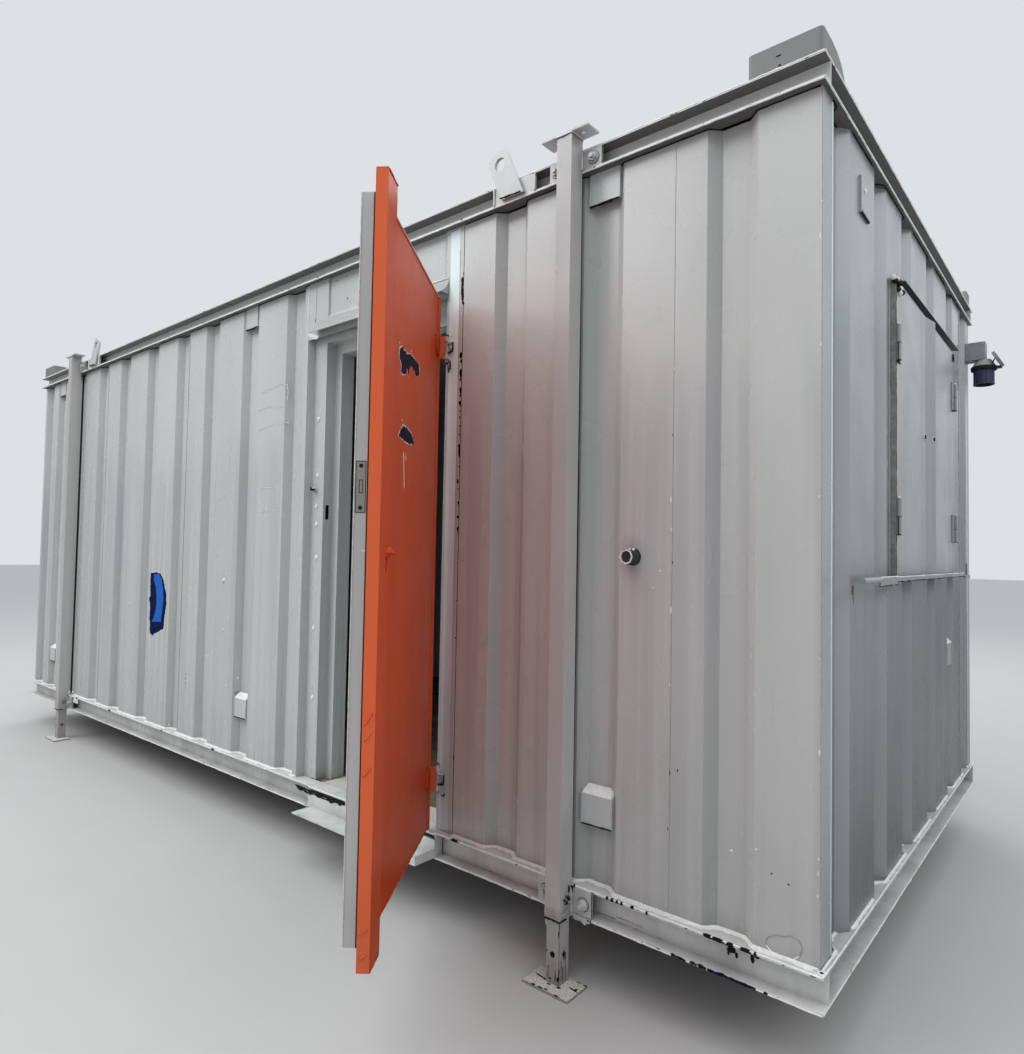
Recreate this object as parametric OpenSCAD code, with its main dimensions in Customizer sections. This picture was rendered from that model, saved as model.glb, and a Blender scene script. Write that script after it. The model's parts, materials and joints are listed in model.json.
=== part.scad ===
// Steel site cabin on four telescopic jack legs: folded channel frame, pressed wall sheets, one
// outward-opening steel door in the long front wall and one shuttered window in the right-hand end.
// Millimetres, +Z up, level ground at z = 0, door side facing -Y, window end facing +X.

/* [Body] */
// Length over the frame
body_l = 6096; // [5000:10:9800]
// Width over the frame
body_w = 2438; // [2100:10:3100]
// Height from the underside of the base frame to the top of the roof frame
body_h = 2467; // [2300:1:2900]
// Clearance between the ground and the base frame
ground_gap = 211; // [150:1:500]

/* [Frame] */
// Height of the base channel
base_h = 93; // [70:1:150]
// Height of the roof channel
top_h = 73; // [60:1:150]
// Depth of the channel flanges
channel_d = 50; // [40:1:80]
// Thickness of the channel webs
web_t = 5; // [3:0.5:8]
// Thickness of the channel flanges
flange_t = 6; // [3:0.5:10]
// Short leg of a corner post
post_short = 28; // [20:1:60]
// Long leg of a corner post
post_long = 78; // [60:1:120]
// Thickness of a corner post
post_t = 4; // [3:0.5:6]
// Spacing of the floor bearers
bearer_pitch = 740; // [400:10:1200]
// Thickness of the floor deck
deck_t = 18; // [12:1:28]

/* [Walls] */
// Distance from the front flange tips to the face of the front wall
front_setback = 29; // [10:1:40]
// Distance from the end flange tips to the face of the end wall
end_setback = 15; // [10:1:40]
// Thickness of the pressed sheet
sheet_t = 2; // [1:0.1:4]
// Depth of a pressed rib
rib_d = 30; // [15:1:40]
// Run of a rib's sloping side
rib_run = 36; // [10:1:50]
// Width of a rib at its mouth
rib_mouth = 155; // [100:1:200]
// Depth from the wall face to the room face of the lining
wall_depth = 150; // [80:1:180]
// Thickness of the lining boards
lining_t = 12; // [6:1:20]

/* [Door] */
// Left edge of the door step in the front wall
door_left = 643; // [500:1:900]
// Right edge of the doorway
door_right = 1597; // [1400:1:1700]
// Outer edge of the hinge-side strip
strip_right = 1685; // [1650:1:1750]
// Height of the doorway head above the base frame
door_head = 2111; // [1950:1:2150]
// Thickness of the insulated leaf
leaf_t = 44; // [38:1:60]
// Thickness of the steel skin
skin_t = 3; // [2:0.5:4]
// Angle the door stands open
door_open = 126.8; // [0:0.1:150]

/* [Window] */
// Near side of the window frame
window_y0 = -490; // [-700:1:-300]
// Far side of the window frame
window_y1 = 600; // [300:1:800]
// Bottom of the window frame above the base frame
window_z0 = 1075; // [900:1:1200]
// Top of the window frame above the base frame
window_z1 = 2095; // [1900:1:2200]
// Stand-off of the frame from the wall
window_out = 22; // [10:1:40]

/* [Jack legs] */
// Distance of the legs from the middle of the cabin
leg_x = 2234; // [1800:1:2800]
// Side of the outer tube
leg_outer = 60; // [50:1:90]
// Side of the sliding inner tube
leg_inner = 50; // [40:1:80]
// Wall of the tubes
leg_wall = 4; // [3:0.5:6]
// Diameter of the locking pins
pin_d = 16; // [12:1:24]
// Length of the foot plate
foot_l = 180; // [120:1:250]
// Width of the foot plate
foot_w = 100; // [80:1:200]
// Thickness of the foot plate
foot_t = 8; // [6:1:15]

/* [Fittings] */
// Distance of the lifting eyes from the middle of the cabin
eye_x = 1964; // [1500:1:2100]
// Lean of the lifting eyes towards the middle
eye_lean = 25; // [0:1:35]
// Diameter of the lifting hole
eye_hole = 50; // [30:1:60]
// Height of the roof corner blocks
block_h = 80; // [50:1:120]

/* [Hidden] */
shift_x = 78.1;
shift_y = -317.2;
hx = body_l / 2;
hy = body_w / 2;
z0 = ground_gap;
z_base = z0 + base_h;
z_top = z0 + body_h;
z_plate = z_top - top_h;
wall_y = hy - front_setback;
wall_x = hx - end_setback;
web_y = hy - channel_d;
web_x = hx - 45;
lin_y = wall_y - wall_depth;
lin_x = wall_x - wall_depth + 7;
lin_top = z_plate - 24;
sheet_pitch = 1190;
rib_offsets = [180, 595, 1010];
hinge = [1604, -1192];
pin_r = 6;
step_left = 790;
lug_z = [z0 + 1928, z0 + 286];
rib_gap = rib_mouth - 2 * rib_run;
leg_y = hy + leg_outer / 2;
pin_z = z0 + 56;
eye_z = z0 + 2405;
steel = [0.72, 0.73, 0.72];
light = [0.8, 0.81, 0.8];
timber = [0.62, 0.5, 0.36];
board = [0.78, 0.8, 0.82];
orange = [0.85, 0.29, 0.1];
slate = [0.55, 0.58, 0.58];
$fn = 40;

// Offset of point b on the path a-b-c, t to the left of the path.
function unit(v) = v / norm(v);
function left(v) = [-v[1], v[0]];
function mitre(a, b, c, t) =
  let (n = left(unit(b - a)), m = left(unit(c - b))) b + t * (n + m) / (1 + n * m);
function offset_point(p, i, t) =
  i == 0 ? p[0] + t * left(unit(p[1] - p[0]))
  : i == len(p) - 1 ? p[i] + t * left(unit(p[i] - p[i - 1]))
  : mitre(p[i - 1], p[i], p[i + 1], t);
// Closed outline of a folded sheet that follows path p and is t thick on its left.
function band(p, t) = concat(p, [for (i = [len(p) - 1:-1:0]) offset_point(p, i, t)]);
// Path of a pressed sheet from u0 to u1 on plane v, with ribs pressed in from each mouth start.
function ribbed(u0, u1, v, starts, depth = rib_d) = concat(
  [[u0, v]],
  [for (a = starts, k = [0:3])
    [a + (k == 0 ? 0 : k == 1 ? rib_run : k == 2 ? rib_mouth - rib_run : rib_mouth),
     k == 1 || k == 2 ? v - depth : v]],
  [[u1, v]]);

module cabin() {
  translate([-shift_x, -shift_y, 0]) children();
}

module along_x(x0, x1) {
  translate([x0, 0, 0]) rotate([90, 0, 90]) linear_extrude(height = x1 - x0) children();
}

module along_y(y0, y1) {
  translate([0, y1, 0]) rotate([90, 0, 0]) linear_extrude(height = y1 - y0) children();
}

module block(x0, x1, y0, y1, za, zb) {
  translate([x0, y0, za]) cube([x1 - x0, y1 - y0, zb - za]);
}

module both_sides() {
  children();
  mirror([0, 1, 0]) children();
}

module both_ends() {
  children();
  mirror([1, 0, 0]) children();
}

module four_corners() {
  both_ends() both_sides() children();
}

// Channel with its flanges facing -Y and its web behind them.
module long_channel(x0, x1, za, zb) {
  difference() {
    block(x0, x1, -hy, -web_y, za, zb);
    block(x0 - 1, x1 + 1, -hy - 1, -web_y - web_t, za + flange_t, zb - flange_t);
  }
}

module end_channel(za, zb) {
  difference() {
    block(web_x, hx, -web_y, web_y, za, zb);
    block(web_x + web_t, hx + 1, -web_y - 1, web_y + 1, za + flange_t, zb - flange_t);
  }
}

module base_rails_long() {
  color(light) cabin() {
    difference() {
      union() {
        long_channel(-hx, step_left, z0, z_base);
        long_channel(1622, hx, z0, z_base);
      }
      block(-2290, -2155, -hy, -web_y + 1, z0 + 25, z0 + 75);
    }
    mirror([0, 1, 0]) long_channel(-hx, hx, z0, z_base);
  }
}

module base_rails_end() {
  color(light) cabin() both_ends() end_channel(z0, z_base);
}

module top_rails_long() {
  color(light) cabin() both_sides() long_channel(-hx, hx, z_plate, z_top);
}

module top_rails_end() {
  color(light) cabin() both_ends() end_channel(z_plate, z_top);
}

module floor_bearers() {
  color(steel) cabin() for (i = [-3.5:1:3.5]) translate([i * bearer_pitch, 0, 0])
    difference() {
      block(-25, 25, -web_y, web_y, z0 + 15, z_base - deck_t);
      block(-21, 26, -web_y - 1, web_y + 1, z0 + 19, z_base - deck_t - 4);
    }
}

module floor_deck() {
  color(timber) cabin() block(-wall_x + 38, wall_x - 38, -wall_y + 40, wall_y - 40, z_base - deck_t, z_base);
}

module corner_posts() {
  color(light) cabin() four_corners() difference() {
    block(wall_x - post_short, wall_x, wall_y - 2 - post_long, wall_y - 2, z_base, z_plate);
    block(wall_x - post_short - 1, wall_x - post_t, wall_y - 3 - post_long, wall_y - 2 - post_t,
      z_base - 1, z_plate + 1);
  }
}

module roof_sheet() {
  starts = [for (s = [0:4], r = rib_offsets) -2975 + sheet_pitch * s + r - rib_mouth / 2];
  color(light) cabin() along_y(-web_y, web_y)
    polygon(band(ribbed(-web_x, web_x, z_top - 7, starts, 20), -sheet_t));
}

// Hollow stacking block: upright front, flat top and a rounded back, closed by end cheeks.
module roof_corner_blocks() {
  outer = [[-1205, 0], [-1205, block_h], [-1130, block_h], [-1085, 74], [-1048, 60],
    [-1022, 38], [-1010, 12], [-1009, 0]];
  color(light) cabin() four_corners() translate([0, 0, z_top]) difference() {
    intersection() {
      along_x(2828, 3038) polygon(outer);
      translate([0, 0, -1]) linear_extrude(height = block_h + 2) {
        translate([2828, -1193]) square([210, 190]);
        translate([2840, -1205]) square([186, 13]);
        for (x = [2840, 3026]) translate([x, -1193]) circle(r = 12);
      }
    }
    along_x(2833, 3033) polygon([[-1200, -1], [-1200, block_h - 5], [-1131, block_h - 5],
      [-1087, 69], [-1051, 55.5], [-1026.5, 35], [-1015, 11], [-1014, -1]]);
  }
}

module front_sheet(x0, x1, starts) {
  mirror([0, 1, 0]) translate([0, 0, z_base]) linear_extrude(height = z_plate - z_base)
    polygon(band(ribbed(x0, x1, wall_y, starts), -sheet_t));
}

module wall_front_left() {
  color(light) cabin() front_sheet(-wall_x, door_left,
    [-3003, -2745, -2345, -1930, -1560, -1140, -730, -375, 35, 455]);
}

module wall_front_right() {
  color(light) cabin() front_sheet(strip_right, wall_x, [1850, 2255, 2700]);
}

// Panel over the door with one wide pressed recess that runs up under the roof channel.
module wall_over_door() {
  d = 8;
  z_sheet = z0 + 2130;
  z_press = z0 + 2210;
  path = [[door_left, -wall_y], [800, -wall_y], [803, -wall_y + d], [1572, -wall_y + d],
    [1592, -wall_y], [door_right, -wall_y]];
  color(light) cabin() {
    translate([0, 0, z_press]) linear_extrude(height = z_plate - z_press) polygon(band(path, sheet_t));
    block(door_left, door_right, -wall_y, -wall_y + sheet_t, z_sheet, z_press);
    intersection() {
      along_x(790, 1596) polygon([[-wall_y, z_press - 4], [-wall_y, z_press],
        [-wall_y + d, z_press + 18], [-wall_y + d + 2, z_press + 18],
        [-wall_y + d + 2, z_press + 14], [-wall_y + 2, z_press - 4]]);
      translate([0, 0, z_press - 10]) linear_extrude(height = 60) polygon([[800, -wall_y],
        [803, -wall_y + d], [803, -wall_y + 60], [1572, -wall_y + 60],
        [1572, -wall_y + d], [1592, -wall_y]]);
    }
  }
}

module wall_back() {
  starts = [for (s = [0:4], r = rib_offsets) -2975 + sheet_pitch * s + r - rib_mouth / 2];
  color(light) cabin() translate([0, 0, z_base]) linear_extrude(height = z_plate - z_base)
    polygon(band(ribbed(-wall_x, wall_x, wall_y, starts), -sheet_t));
}

module end_sheet() {
  reach = wall_y - 2 - post_long;
  translate([0, 0, z_base]) linear_extrude(height = z_plate - z_base)
    polygon(band(ribbed(-reach, reach, wall_x, [-1075, -710, -275, 155, 525, 945]), -sheet_t));
}

module wall_end_left() {
  color(light) cabin() rotate([0, 0, 90]) end_sheet();
}

module window_hole(x0, x1) {
  block(x0, x1, window_y0, window_y1, z0 + window_z0, z0 + window_z1);
}

module wall_end_window() {
  color(light) cabin() difference() {
    rotate([0, 0, -90]) end_sheet();
    window_hole(wall_x - 60, wall_x + 10);
  }
}

module lining_long_walls() {
  color(board) cabin() {
    block(-lin_x, 794, -lin_y - lining_t, -lin_y, z_base, lin_top);
    block(1550, lin_x, -lin_y - lining_t, -lin_y, z_base, lin_top);
    block(796, 1548, -lin_y - lining_t, -lin_y, z0 + door_head - 47, lin_top);
    block(-lin_x, lin_x, lin_y, lin_y + lining_t, z_base, lin_top);
  }
}

module lining_end_walls() {
  color(board) cabin() {
    block(-lin_x - lining_t, -lin_x, -lin_y, lin_y, z_base, lin_top);
    difference() {
      block(lin_x, lin_x + lining_t, -lin_y, lin_y, z_base, lin_top);
      window_hole(lin_x - 1, lin_x + lining_t + 1);
    }
  }
}

module ceiling_lining() {
  color(board) cabin() block(-lin_x - lining_t, lin_x + lining_t, -lin_y - lining_t,
    lin_y + lining_t, lin_top, lin_top + lining_t);
}

module jamb(path) {
  difference() {
    translate([0, 0, z_base]) linear_extrude(height = z_plate - z_base) polygon(band(path, sheet_t));
    block(700, 1580, -1090, 0, lin_top, z_plate + 1);
  }
}

// Folded lock-side jamb with the stepped rebate, a slot for the lock bolt.
module door_jamb_lock() {
  color(light) cabin() difference() {
    jamb([[621, -1188], [645, -1188], [653, -1155], [747, -1155], [747, -1106], [796, -1106],
      [796, -lin_y]]);
    block(740, 750, -1142, -1124, z0 + 1285, z0 + 1352);
  }
}

// Folded hinge-side jamb, notched where the two hinges sit.
module door_jamb_hinge() {
  color(light) cabin() difference() {
    jamb([[1548, -lin_y], [1548, -1106], [door_right, -1106], [door_right, -wall_y],
      [strip_right, -wall_y]]);
    for (z = lug_z) block(1590, 1622, -1195, -1172, z - 62, z + 56);
  }
}

module door_head() {
  color(light) cabin() {
    along_x(747, door_right) polygon(band([[-1155, z0 + door_head + 70], [-1155, z0 + door_head],
      [-1106, z0 + door_head]], sheet_t));
    along_x(796, 1548) polygon(band([[-1106, z0 + door_head + 30], [-1106, z0 + door_head - 49],
      [-lin_y, z0 + door_head - 49]], sheet_t));
  }
}

// Drip canopy: the sheet flares out in a curve below the pressed panel; closed right-hand end.
module door_canopy() {
  top = [[-1190, 2204], [-1194, 2188], [-1203, 2170], [-1217, 2155], [-1236, 2142]];
  under = [[-1234.5, 2139.4], [-1215, 2152.4], [-1200.4, 2168.3], [-1191.2, 2187], [-1190, 2192]];
  color(light) cabin() translate([0, 0, z0]) {
    along_x(713, 1605) polygon(concat(top, under));
    along_x(1602, 1605) polygon(concat(top, [[-1190, 2142]]));
  }
}

module door_sill() {
  color(light) cabin() {
    block(step_left, 1622, -hy, -wall_y + 40, z_base - flange_t, z_base);
    block(652, step_left, -web_y, -wall_y + 40, z_base - flange_t, z_base);
    block(step_left, 1622, -hy, -hy + 4, z0 + 82, z_base - flange_t);
  }
}

// Plate below the door, short of the sill, held by end webs; a lip along its foot to step on.
module door_step_plate() {
  color(light) cabin() {
    block(step_left, 1622, -hy, -hy + 8, z0, z0 + 66);
    block(step_left + 25, 1622, -hy - 93, -hy + 8, z0, z0 + 6);
    block(1614, 1622, -hy - 93, -hy + 8, z0, z0 + 34);
    for (x = [step_left, 1614]) block(x, x + 8, -hy + 8, -hy + 40, z0, z_base - flange_t);
  }
}

module door_pose() {
  translate([hinge[0], hinge[1], 0]) rotate([0, 0, door_open]) translate([-hinge[0], -hinge[1], 0]) children();
}

module door_leaf() {
  color(slate) cabin() door_pose() difference() {
    block(757, 1590, -1156, -1156 + leaf_t, z0 + 114, z0 + 2103);
    block(756, 759, -1142, -1118, z0 + 1242, z0 + 1376);
  }
}

// Folded steel skin: a hollow box rib covers the lock side, the hinge side turns out slightly.
module door_skin() {
  path = [[672, -1175], [672, -1208], [762, -1208], [777, -1159], [1578, -1159], [1590, -1167]];
  color(orange) cabin() door_pose() translate([0, 0, z0 + 99]) linear_extrude(height = 2025)
    polygon(band(path, skin_t));
}

// Moving hinge halves: a D-shaped fin standing on the skin, an upper and a lower barrel on it.
module door_hinge_lugs() {
  color(orange) cabin() door_pose() for (z = lug_z) translate([0, 0, z]) {
    intersection() {
      translate([0, 0, -60]) linear_extrude(height = 120)
        polygon([[1582, -1161.67], [1590, -1167], [1590, -1200], [1582, -1200]]);
      translate([1580, -1129.2, 0]) rotate([0, 90, 0]) cylinder(r = 60.8, h = 12);
    }
    for (k = [-43, 24.2]) difference() {
      union() {
        translate([hinge[0], hinge[1], k]) cylinder(r = 11, h = 18.8);
        block(1584, 1598, -1197, -1176, k, k + 18.8);
      }
      translate([hinge[0], hinge[1], k - 1]) cylinder(r = pin_r, h = 22);
    }
  }
}

// Fixed hinge halves: a strap on the hinge-side strip, its barrel and the long pin.
module door_hinge_pins() {
  color(light) cabin() for (z = lug_z) translate([0, 0, z]) {
    translate([hinge[0], hinge[1], -24]) cylinder(r = 11, h = 48);
    translate([hinge[0], hinge[1], -54]) cylinder(r = pin_r - 0.05, h = 100);
    block(hinge[0], 1638, -1196, -1190, -18, 18);
  }
}

module door_lock_plate() {
  color(steel) cabin() door_pose() difference() {
    block(756.5, 759, -1142, -1118, z0 + 1242, z0 + 1376);
    block(750, 765, -1134, -1127, z0 + 1292, z0 + 1328);
    for (z = [1253, 1365]) translate([750, -1130, z0 + z]) rotate([0, 90, 0]) cylinder(r = 5, h = 15);
  }
}

module square_tube(side, wall, h) {
  linear_extrude(height = h) difference() {
    square(side, center = true);
    square(side - 2 * wall, center = true);
  }
}

module leg_pin_hole(z) {
  translate([-60, 0, z]) rotate([0, 90, 0]) cylinder(d = pin_d, h = 120);
}

module jack_leg_tubes() {
  z_end = z0 + 2504;
  color(light) cabin() four_corners() translate([leg_x, -leg_y, 0]) {
    difference() {
      translate([0, 0, z0 - 4]) square_tube(leg_outer, leg_wall, z_end - z0 + 4);
      leg_pin_hole(pin_z);
    }
    difference() {
      block(-95, 95, -32, 32, z_end, z_end + 6);
      for (x = [-55, 55]) translate([x, 0, z_end - 1]) cylinder(d = 12, h = 8);
    }
  }
}

module jack_leg_inners() {
  color(light) cabin() four_corners() translate([leg_x, -leg_y, 0]) {
    difference() {
      translate([0, 0, foot_t]) square_tube(leg_inner, leg_wall, z0 + 400 - foot_t);
      leg_pin_hole(pin_z);
      leg_pin_hole(pin_z - 168);
      rotate([0, 0, 90]) leg_pin_hole(pin_z - 168);
    }
    block(-foot_l / 2, foot_l / 2, -foot_w / 2 - 15, foot_w / 2 - 15, 0, foot_t);
  }
}

module jack_leg_pins() {
  color(steel) cabin() four_corners() translate([leg_x, -leg_y, pin_z]) rotate([0, 90, 0]) {
    translate([0, 0, -leg_outer / 2 - 12]) cylinder(d = pin_d, h = leg_outer + 12);
    translate([0, 0, leg_outer / 2]) cylinder(d = pin_d + 10, h = 8);
  }
}

module jack_leg_brackets() {
  color(light) cabin() four_corners() for (z = [z0 + flange_t, z_plate + flange_t])
    block(leg_x - 107, leg_x + 107, -hy, -hy + 8, z,
      z + (z < z0 + 1000 ? base_h : top_h) - 2 * flange_t);
}

// Flat lifting eyes on backing plates, leaning along the wall towards the middle of the roof.
module lifting_eyes() {
  color(light) cabin() four_corners() {
    block(eye_x - 96, eye_x + 96, -hy, -hy + 10, z_plate + flange_t, z_top - flange_t);
    along_y(-hy - 12, -hy) difference() {
      translate([eye_x, eye_z]) rotate(eye_lean) {
        translate([-47, -40]) square([94, 205]);
        for (s = [-1, 1]) translate([s * 19, 165]) circle(r = 28);
        translate([-19, 160]) square([38, 33]);
      }
      translate([eye_x, eye_z]) rotate(eye_lean) translate([0, 146]) circle(d = eye_hole);
      translate([eye_x - 150, eye_z - 100]) square([300, 100]);
    }
  }
}

module window_frame() {
  x_in = lin_x;
  x_out = wall_x + window_out;
  color(light) cabin() difference() {
    window_hole(x_in, x_out);
    block(x_in - 1, x_out + 1, window_y0 + 4, window_y1 - 4, z0 + window_z0 + 4, z0 + window_z1 - 4);
  }
}

module window_glass() {
  color([0.7, 0.8, 0.85, 0.4]) cabin()
    block(2990, 2996, window_y0 + 4, window_y1 - 4, z0 + window_z0 + 4, z0 + window_z1 - 4);
}

// Two closed steel leaves; the near one turns out along its meeting edge and laps the other.
module window_shutters() {
  x = wall_x + window_out;
  color(light) cabin() translate([0, 0, z0 + window_z0 + 4]) linear_extrude(height = 1011) {
    polygon(band([[x, window_y0 + 6], [x, -110], [x + 3, -30], [x + 20, 72]], 3));
    polygon(band([[x, 40], [x, window_y1 - 6]], 3));
  }
}

module shutter_hinges() {
  x = wall_x + window_out;
  color(light) cabin() for (z = [1222, 1824], s = [0, 1])
    translate([x, s == 0 ? window_y0 : window_y1 - 58, z0 + z - (s == 0 && z > 1500 ? 12 : 0)]) {
    cube([5, 58, 124]);
    translate([8, s == 0 ? 4 : 54, 0]) cylinder(r = 8, h = 124);
  }
}

// Narrow strip over the shutters, a little lower at its near end, and a tab at the frame's corner.
module window_canopy() {
  color(light) cabin() {
    translate([0, -390, z0 + 2118]) rotate([0.78, 0, 0]) along_y(0, 1095)
      polygon([[wall_x, 4], [wall_x + 31, 0], [wall_x + 31, -3], [wall_x, 1]]);
    block(wall_x, wall_x + 34, window_y0 + 2, window_y0 + 40, z0 + window_z1, z0 + window_z1 + 5);
  }
}

// Sill ledge with a raised lip, carried on past the window by flat bars; a keeper tube at its near
// end and an upright keeper at the far end hold the locking rod.
module window_sill_bar() {
  z = z0 + window_z0;
  color(light) cabin() {
    block(wall_x, wall_x + 52, -598, 700, z - 6, z);
    block(wall_x + 48, wall_x + 52, -598, 700, z - 6, z + 8);
    block(wall_x + 48, wall_x + 52, -816, -598, z - 16, z + 10);
    block(wall_x + 48, wall_x + 52, 700, 850, z - 19, z - 2);
    block(wall_x + 46, wall_x + 52, 755, 771, z - 12, z + 52);
    translate([wall_x + 50, -1003, z + 3]) rotate([-90, 0, 0]) cylinder(r = 10, h = 190);
  }
}

// Ventilator cover set into a rib whose bottom lies on v: 118 wide, open underneath, with its top
// falling by drop towards the front.
module hood_form(side, front, back, bevel, za, zb, drop) {
  intersection() {
    translate([0, 0, za]) linear_extrude(height = zb - za)
      polygon([[-side, front], [side, front], [side, back - bevel], [side - bevel * 1.2, back],
        [bevel * 1.2 - side, back], [-side, back - bevel]]);
    along_x(-side, side) polygon([[front, za], [front, zb - drop], [back, zb], [back, za]]);
  }
}

module hood(v, za, zb, drop = 0) {
  difference() {
    hood_form(59, v - 27, v, 14.6, za, zb, drop);
    hood_form(56, v - 24, v + 1, 14.4, za - 1, zb - 3, drop);
  }
}

module vent_hoods() {
  color(light) cabin() {
    for (x = [2332.5, 112.5, -2667.5]) translate([x, 0, 0]) {
      hood(rib_d - wall_y, z0 + 2290, z_plate);
      hood(rib_d - wall_y, z0 + 281, z0 + 404, 28);
    }
    translate([0, 632.5, 0]) rotate([0, 0, 90]) hood(rib_d - wall_x, z0 + 660, z0 + 788, 28);
    difference() {
      block(wall_x, wall_x + 7, -852, -752, z0 + 2186, z0 + 2298);
      block(wall_x - 1, wall_x + 5, -850, -754, z0 + 2185, z0 + 2296);
    }
  }
}

module waste_pipe() {
  color(light) cabin() translate([2462, -wall_y, z0 + 1135]) rotate([90, 0, 0]) difference() {
    cylinder(d = 48.3, h = 45);
    translate([0, 0, 2]) cylinder(d = 41, h = 50);
  }
}

module power_inlet_box() {
  color(slate) cabin() {
    block(wall_x, wall_x + 90, 1085, 1157, z0 + 2172, z0 + 2262);
    translate([wall_x + 80, 1121, z0 + 2136]) cylinder(r1 = 56, r2 = 34, h = 36);
  }
}

// Collar and open shroud that the plug enters from below; the round lid is flipped up.
module power_inlet_socket() {
  color([0.12, 0.2, 0.5]) cabin() translate([wall_x + 80, 1121, z0 + 2046]) {
    difference() {
      union() {
        translate([0, 0, 74]) cylinder(r = 58, h = 16);
        cylinder(r = 46, h = 74);
      }
      translate([0, 0, -1]) cylinder(r = 41, h = 80);
    }
    difference() {
      translate([50, -11, 76]) cube([32, 22, 12]);
      translate([56, 0, 120]) rotate([0, 60, 0]) cylinder(r = 60, h = 40);
    }
  }
}

// Round lid, hollow inside, flipped up and resting on the collar's lug.
module power_inlet_lid() {
  color(slate) cabin() translate([wall_x + 136, 1121, z0 + 2166]) rotate([0, 60, 0]) difference() {
    cylinder(r = 46, h = 14);
    translate([0, 0, -1]) cylinder(r = 40, h = 9);
  }
}

base_rails_long();
base_rails_end();
floor_bearers();
floor_deck();
top_rails_long();
top_rails_end();
corner_posts();
roof_sheet();
roof_corner_blocks();
wall_front_left();
wall_front_right();
wall_over_door();
wall_back();
wall_end_left();
wall_end_window();
lining_long_walls();
lining_end_walls();
ceiling_lining();
door_jamb_lock();
door_jamb_hinge();
door_head();
door_canopy();
door_sill();
door_step_plate();
door_leaf();
door_skin();
door_hinge_lugs();
door_hinge_pins();
door_lock_plate();
jack_leg_tubes();
jack_leg_inners();
jack_leg_pins();
jack_leg_brackets();
lifting_eyes();
window_frame();
window_glass();
window_shutters();
shutter_hinges();
window_canopy();
window_sill_bar();
vent_hoods();
waste_pipe();
power_inlet_box();
power_inlet_socket();
power_inlet_lid();
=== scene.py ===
import json
import math
import random

import bmesh
import bpy
from mathutils import Matrix, Vector


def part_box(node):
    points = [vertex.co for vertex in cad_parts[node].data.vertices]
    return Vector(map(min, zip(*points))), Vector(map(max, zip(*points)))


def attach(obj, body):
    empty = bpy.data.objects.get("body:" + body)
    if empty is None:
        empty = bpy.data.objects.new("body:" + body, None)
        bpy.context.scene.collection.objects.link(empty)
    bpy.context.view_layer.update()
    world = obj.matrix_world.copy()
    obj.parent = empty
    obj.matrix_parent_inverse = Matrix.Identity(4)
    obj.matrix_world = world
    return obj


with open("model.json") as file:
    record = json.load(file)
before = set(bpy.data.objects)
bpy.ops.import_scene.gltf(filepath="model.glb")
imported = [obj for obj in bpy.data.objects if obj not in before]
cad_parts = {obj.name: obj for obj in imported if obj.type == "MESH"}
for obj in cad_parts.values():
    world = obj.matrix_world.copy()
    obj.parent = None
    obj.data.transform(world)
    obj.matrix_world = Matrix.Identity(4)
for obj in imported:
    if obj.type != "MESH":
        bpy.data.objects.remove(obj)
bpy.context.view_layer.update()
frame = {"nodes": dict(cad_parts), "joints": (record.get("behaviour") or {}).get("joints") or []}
nodes = frame["nodes"]
scene = bpy.context.scene
scene.view_settings.view_transform = "Standard"
print("frame loaded:", len(nodes), "steel and board parts")

# the cabin's own millimetres: x along the wall, y across, z up from the base frame's underside
railLow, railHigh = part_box("base_rails_long")
middle = Vector(((railLow.x + railHigh.x) / 2, (railLow.y + railHigh.y) / 2, railLow.z))
hinge = frame["joints"][0]
openAngle = math.radians(-hinge["range_deg"][0])
doorTurn = (Matrix.Translation(Vector(hinge["pos_m"])) @ Matrix.Rotation(openAngle, 4, "Z")
    @ Matrix.Translation(-Vector(hinge["pos_m"])))


# planes that the marks lie on in millimetres, and the ways they look
wallFace, railFace, recessFace, doorFace, webFace = -1190, -1219, -1155, -1159, -1174
outFront, outEnd, upward = (0, -1, 0), (1, 0, 0), (0, 0, 1)
hingeLevels = (286, 1928)
fourCorners = [(s, t) for s in (1, -1) for t in (1, -1)]


def spot(x, y, z):
    return Vector((x / 1000, y / 1000, z / 1000)) + middle


# shader helpers
def newGroup(name, inputs, outputs):
    tree = bpy.data.node_groups.new(name, "ShaderNodeTree")
    for label, value in inputs.items():
        tree.interface.new_socket(name=label, in_out="INPUT",
            socket_type="NodeSocketFloat").default_value = value
    for label in outputs:
        tree.interface.new_socket(name=label, in_out="OUTPUT", socket_type="NodeSocketFloat")
    return tree, tree.nodes.new("NodeGroupInput"), tree.nodes.new("NodeGroupOutput")


def setInput(tree, socket, value):
    # another node's output is linked, a plain value is set
    if isinstance(value, bpy.types.NodeSocket):
        tree.links.new(value, socket)
    else:
        socket.default_value = value


def addNode(tree, kind, inputs=None, **props):
    node = tree.nodes.new(kind)
    for key, value in props.items():
        setattr(node, key, value)
    for key, value in (inputs or {}).items():
        setInput(tree, node.inputs[key], value)
    return node


def objectCoords(tree):
    return addNode(tree, "ShaderNodeTexCoord").outputs["Object"]


def maths(tree, operation, a, b=0.0, clamp=False):
    node = addNode(tree, "ShaderNodeMath", operation=operation, use_clamp=clamp)
    setInput(tree, node.inputs[0], a)
    setInput(tree, node.inputs[1], b)
    return node.outputs[0]


def times(tree, a, b):
    return maths(tree, "MULTIPLY", a, b)


def plus(tree, a, b):
    return maths(tree, "ADD", a, b)


def minus(tree, a, b):
    return maths(tree, "SUBTRACT", a, b)


def dotted(tree, vector, way):
    # how far the vector reaches along way
    return addNode(tree, "ShaderNodeVectorMath", {0: vector, 1: way},
        operation="DOT_PRODUCT").outputs["Value"]


def vectorMaths(tree, operation, inputs):
    return addNode(tree, "ShaderNodeVectorMath", inputs, operation=operation).outputs[0]


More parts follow.
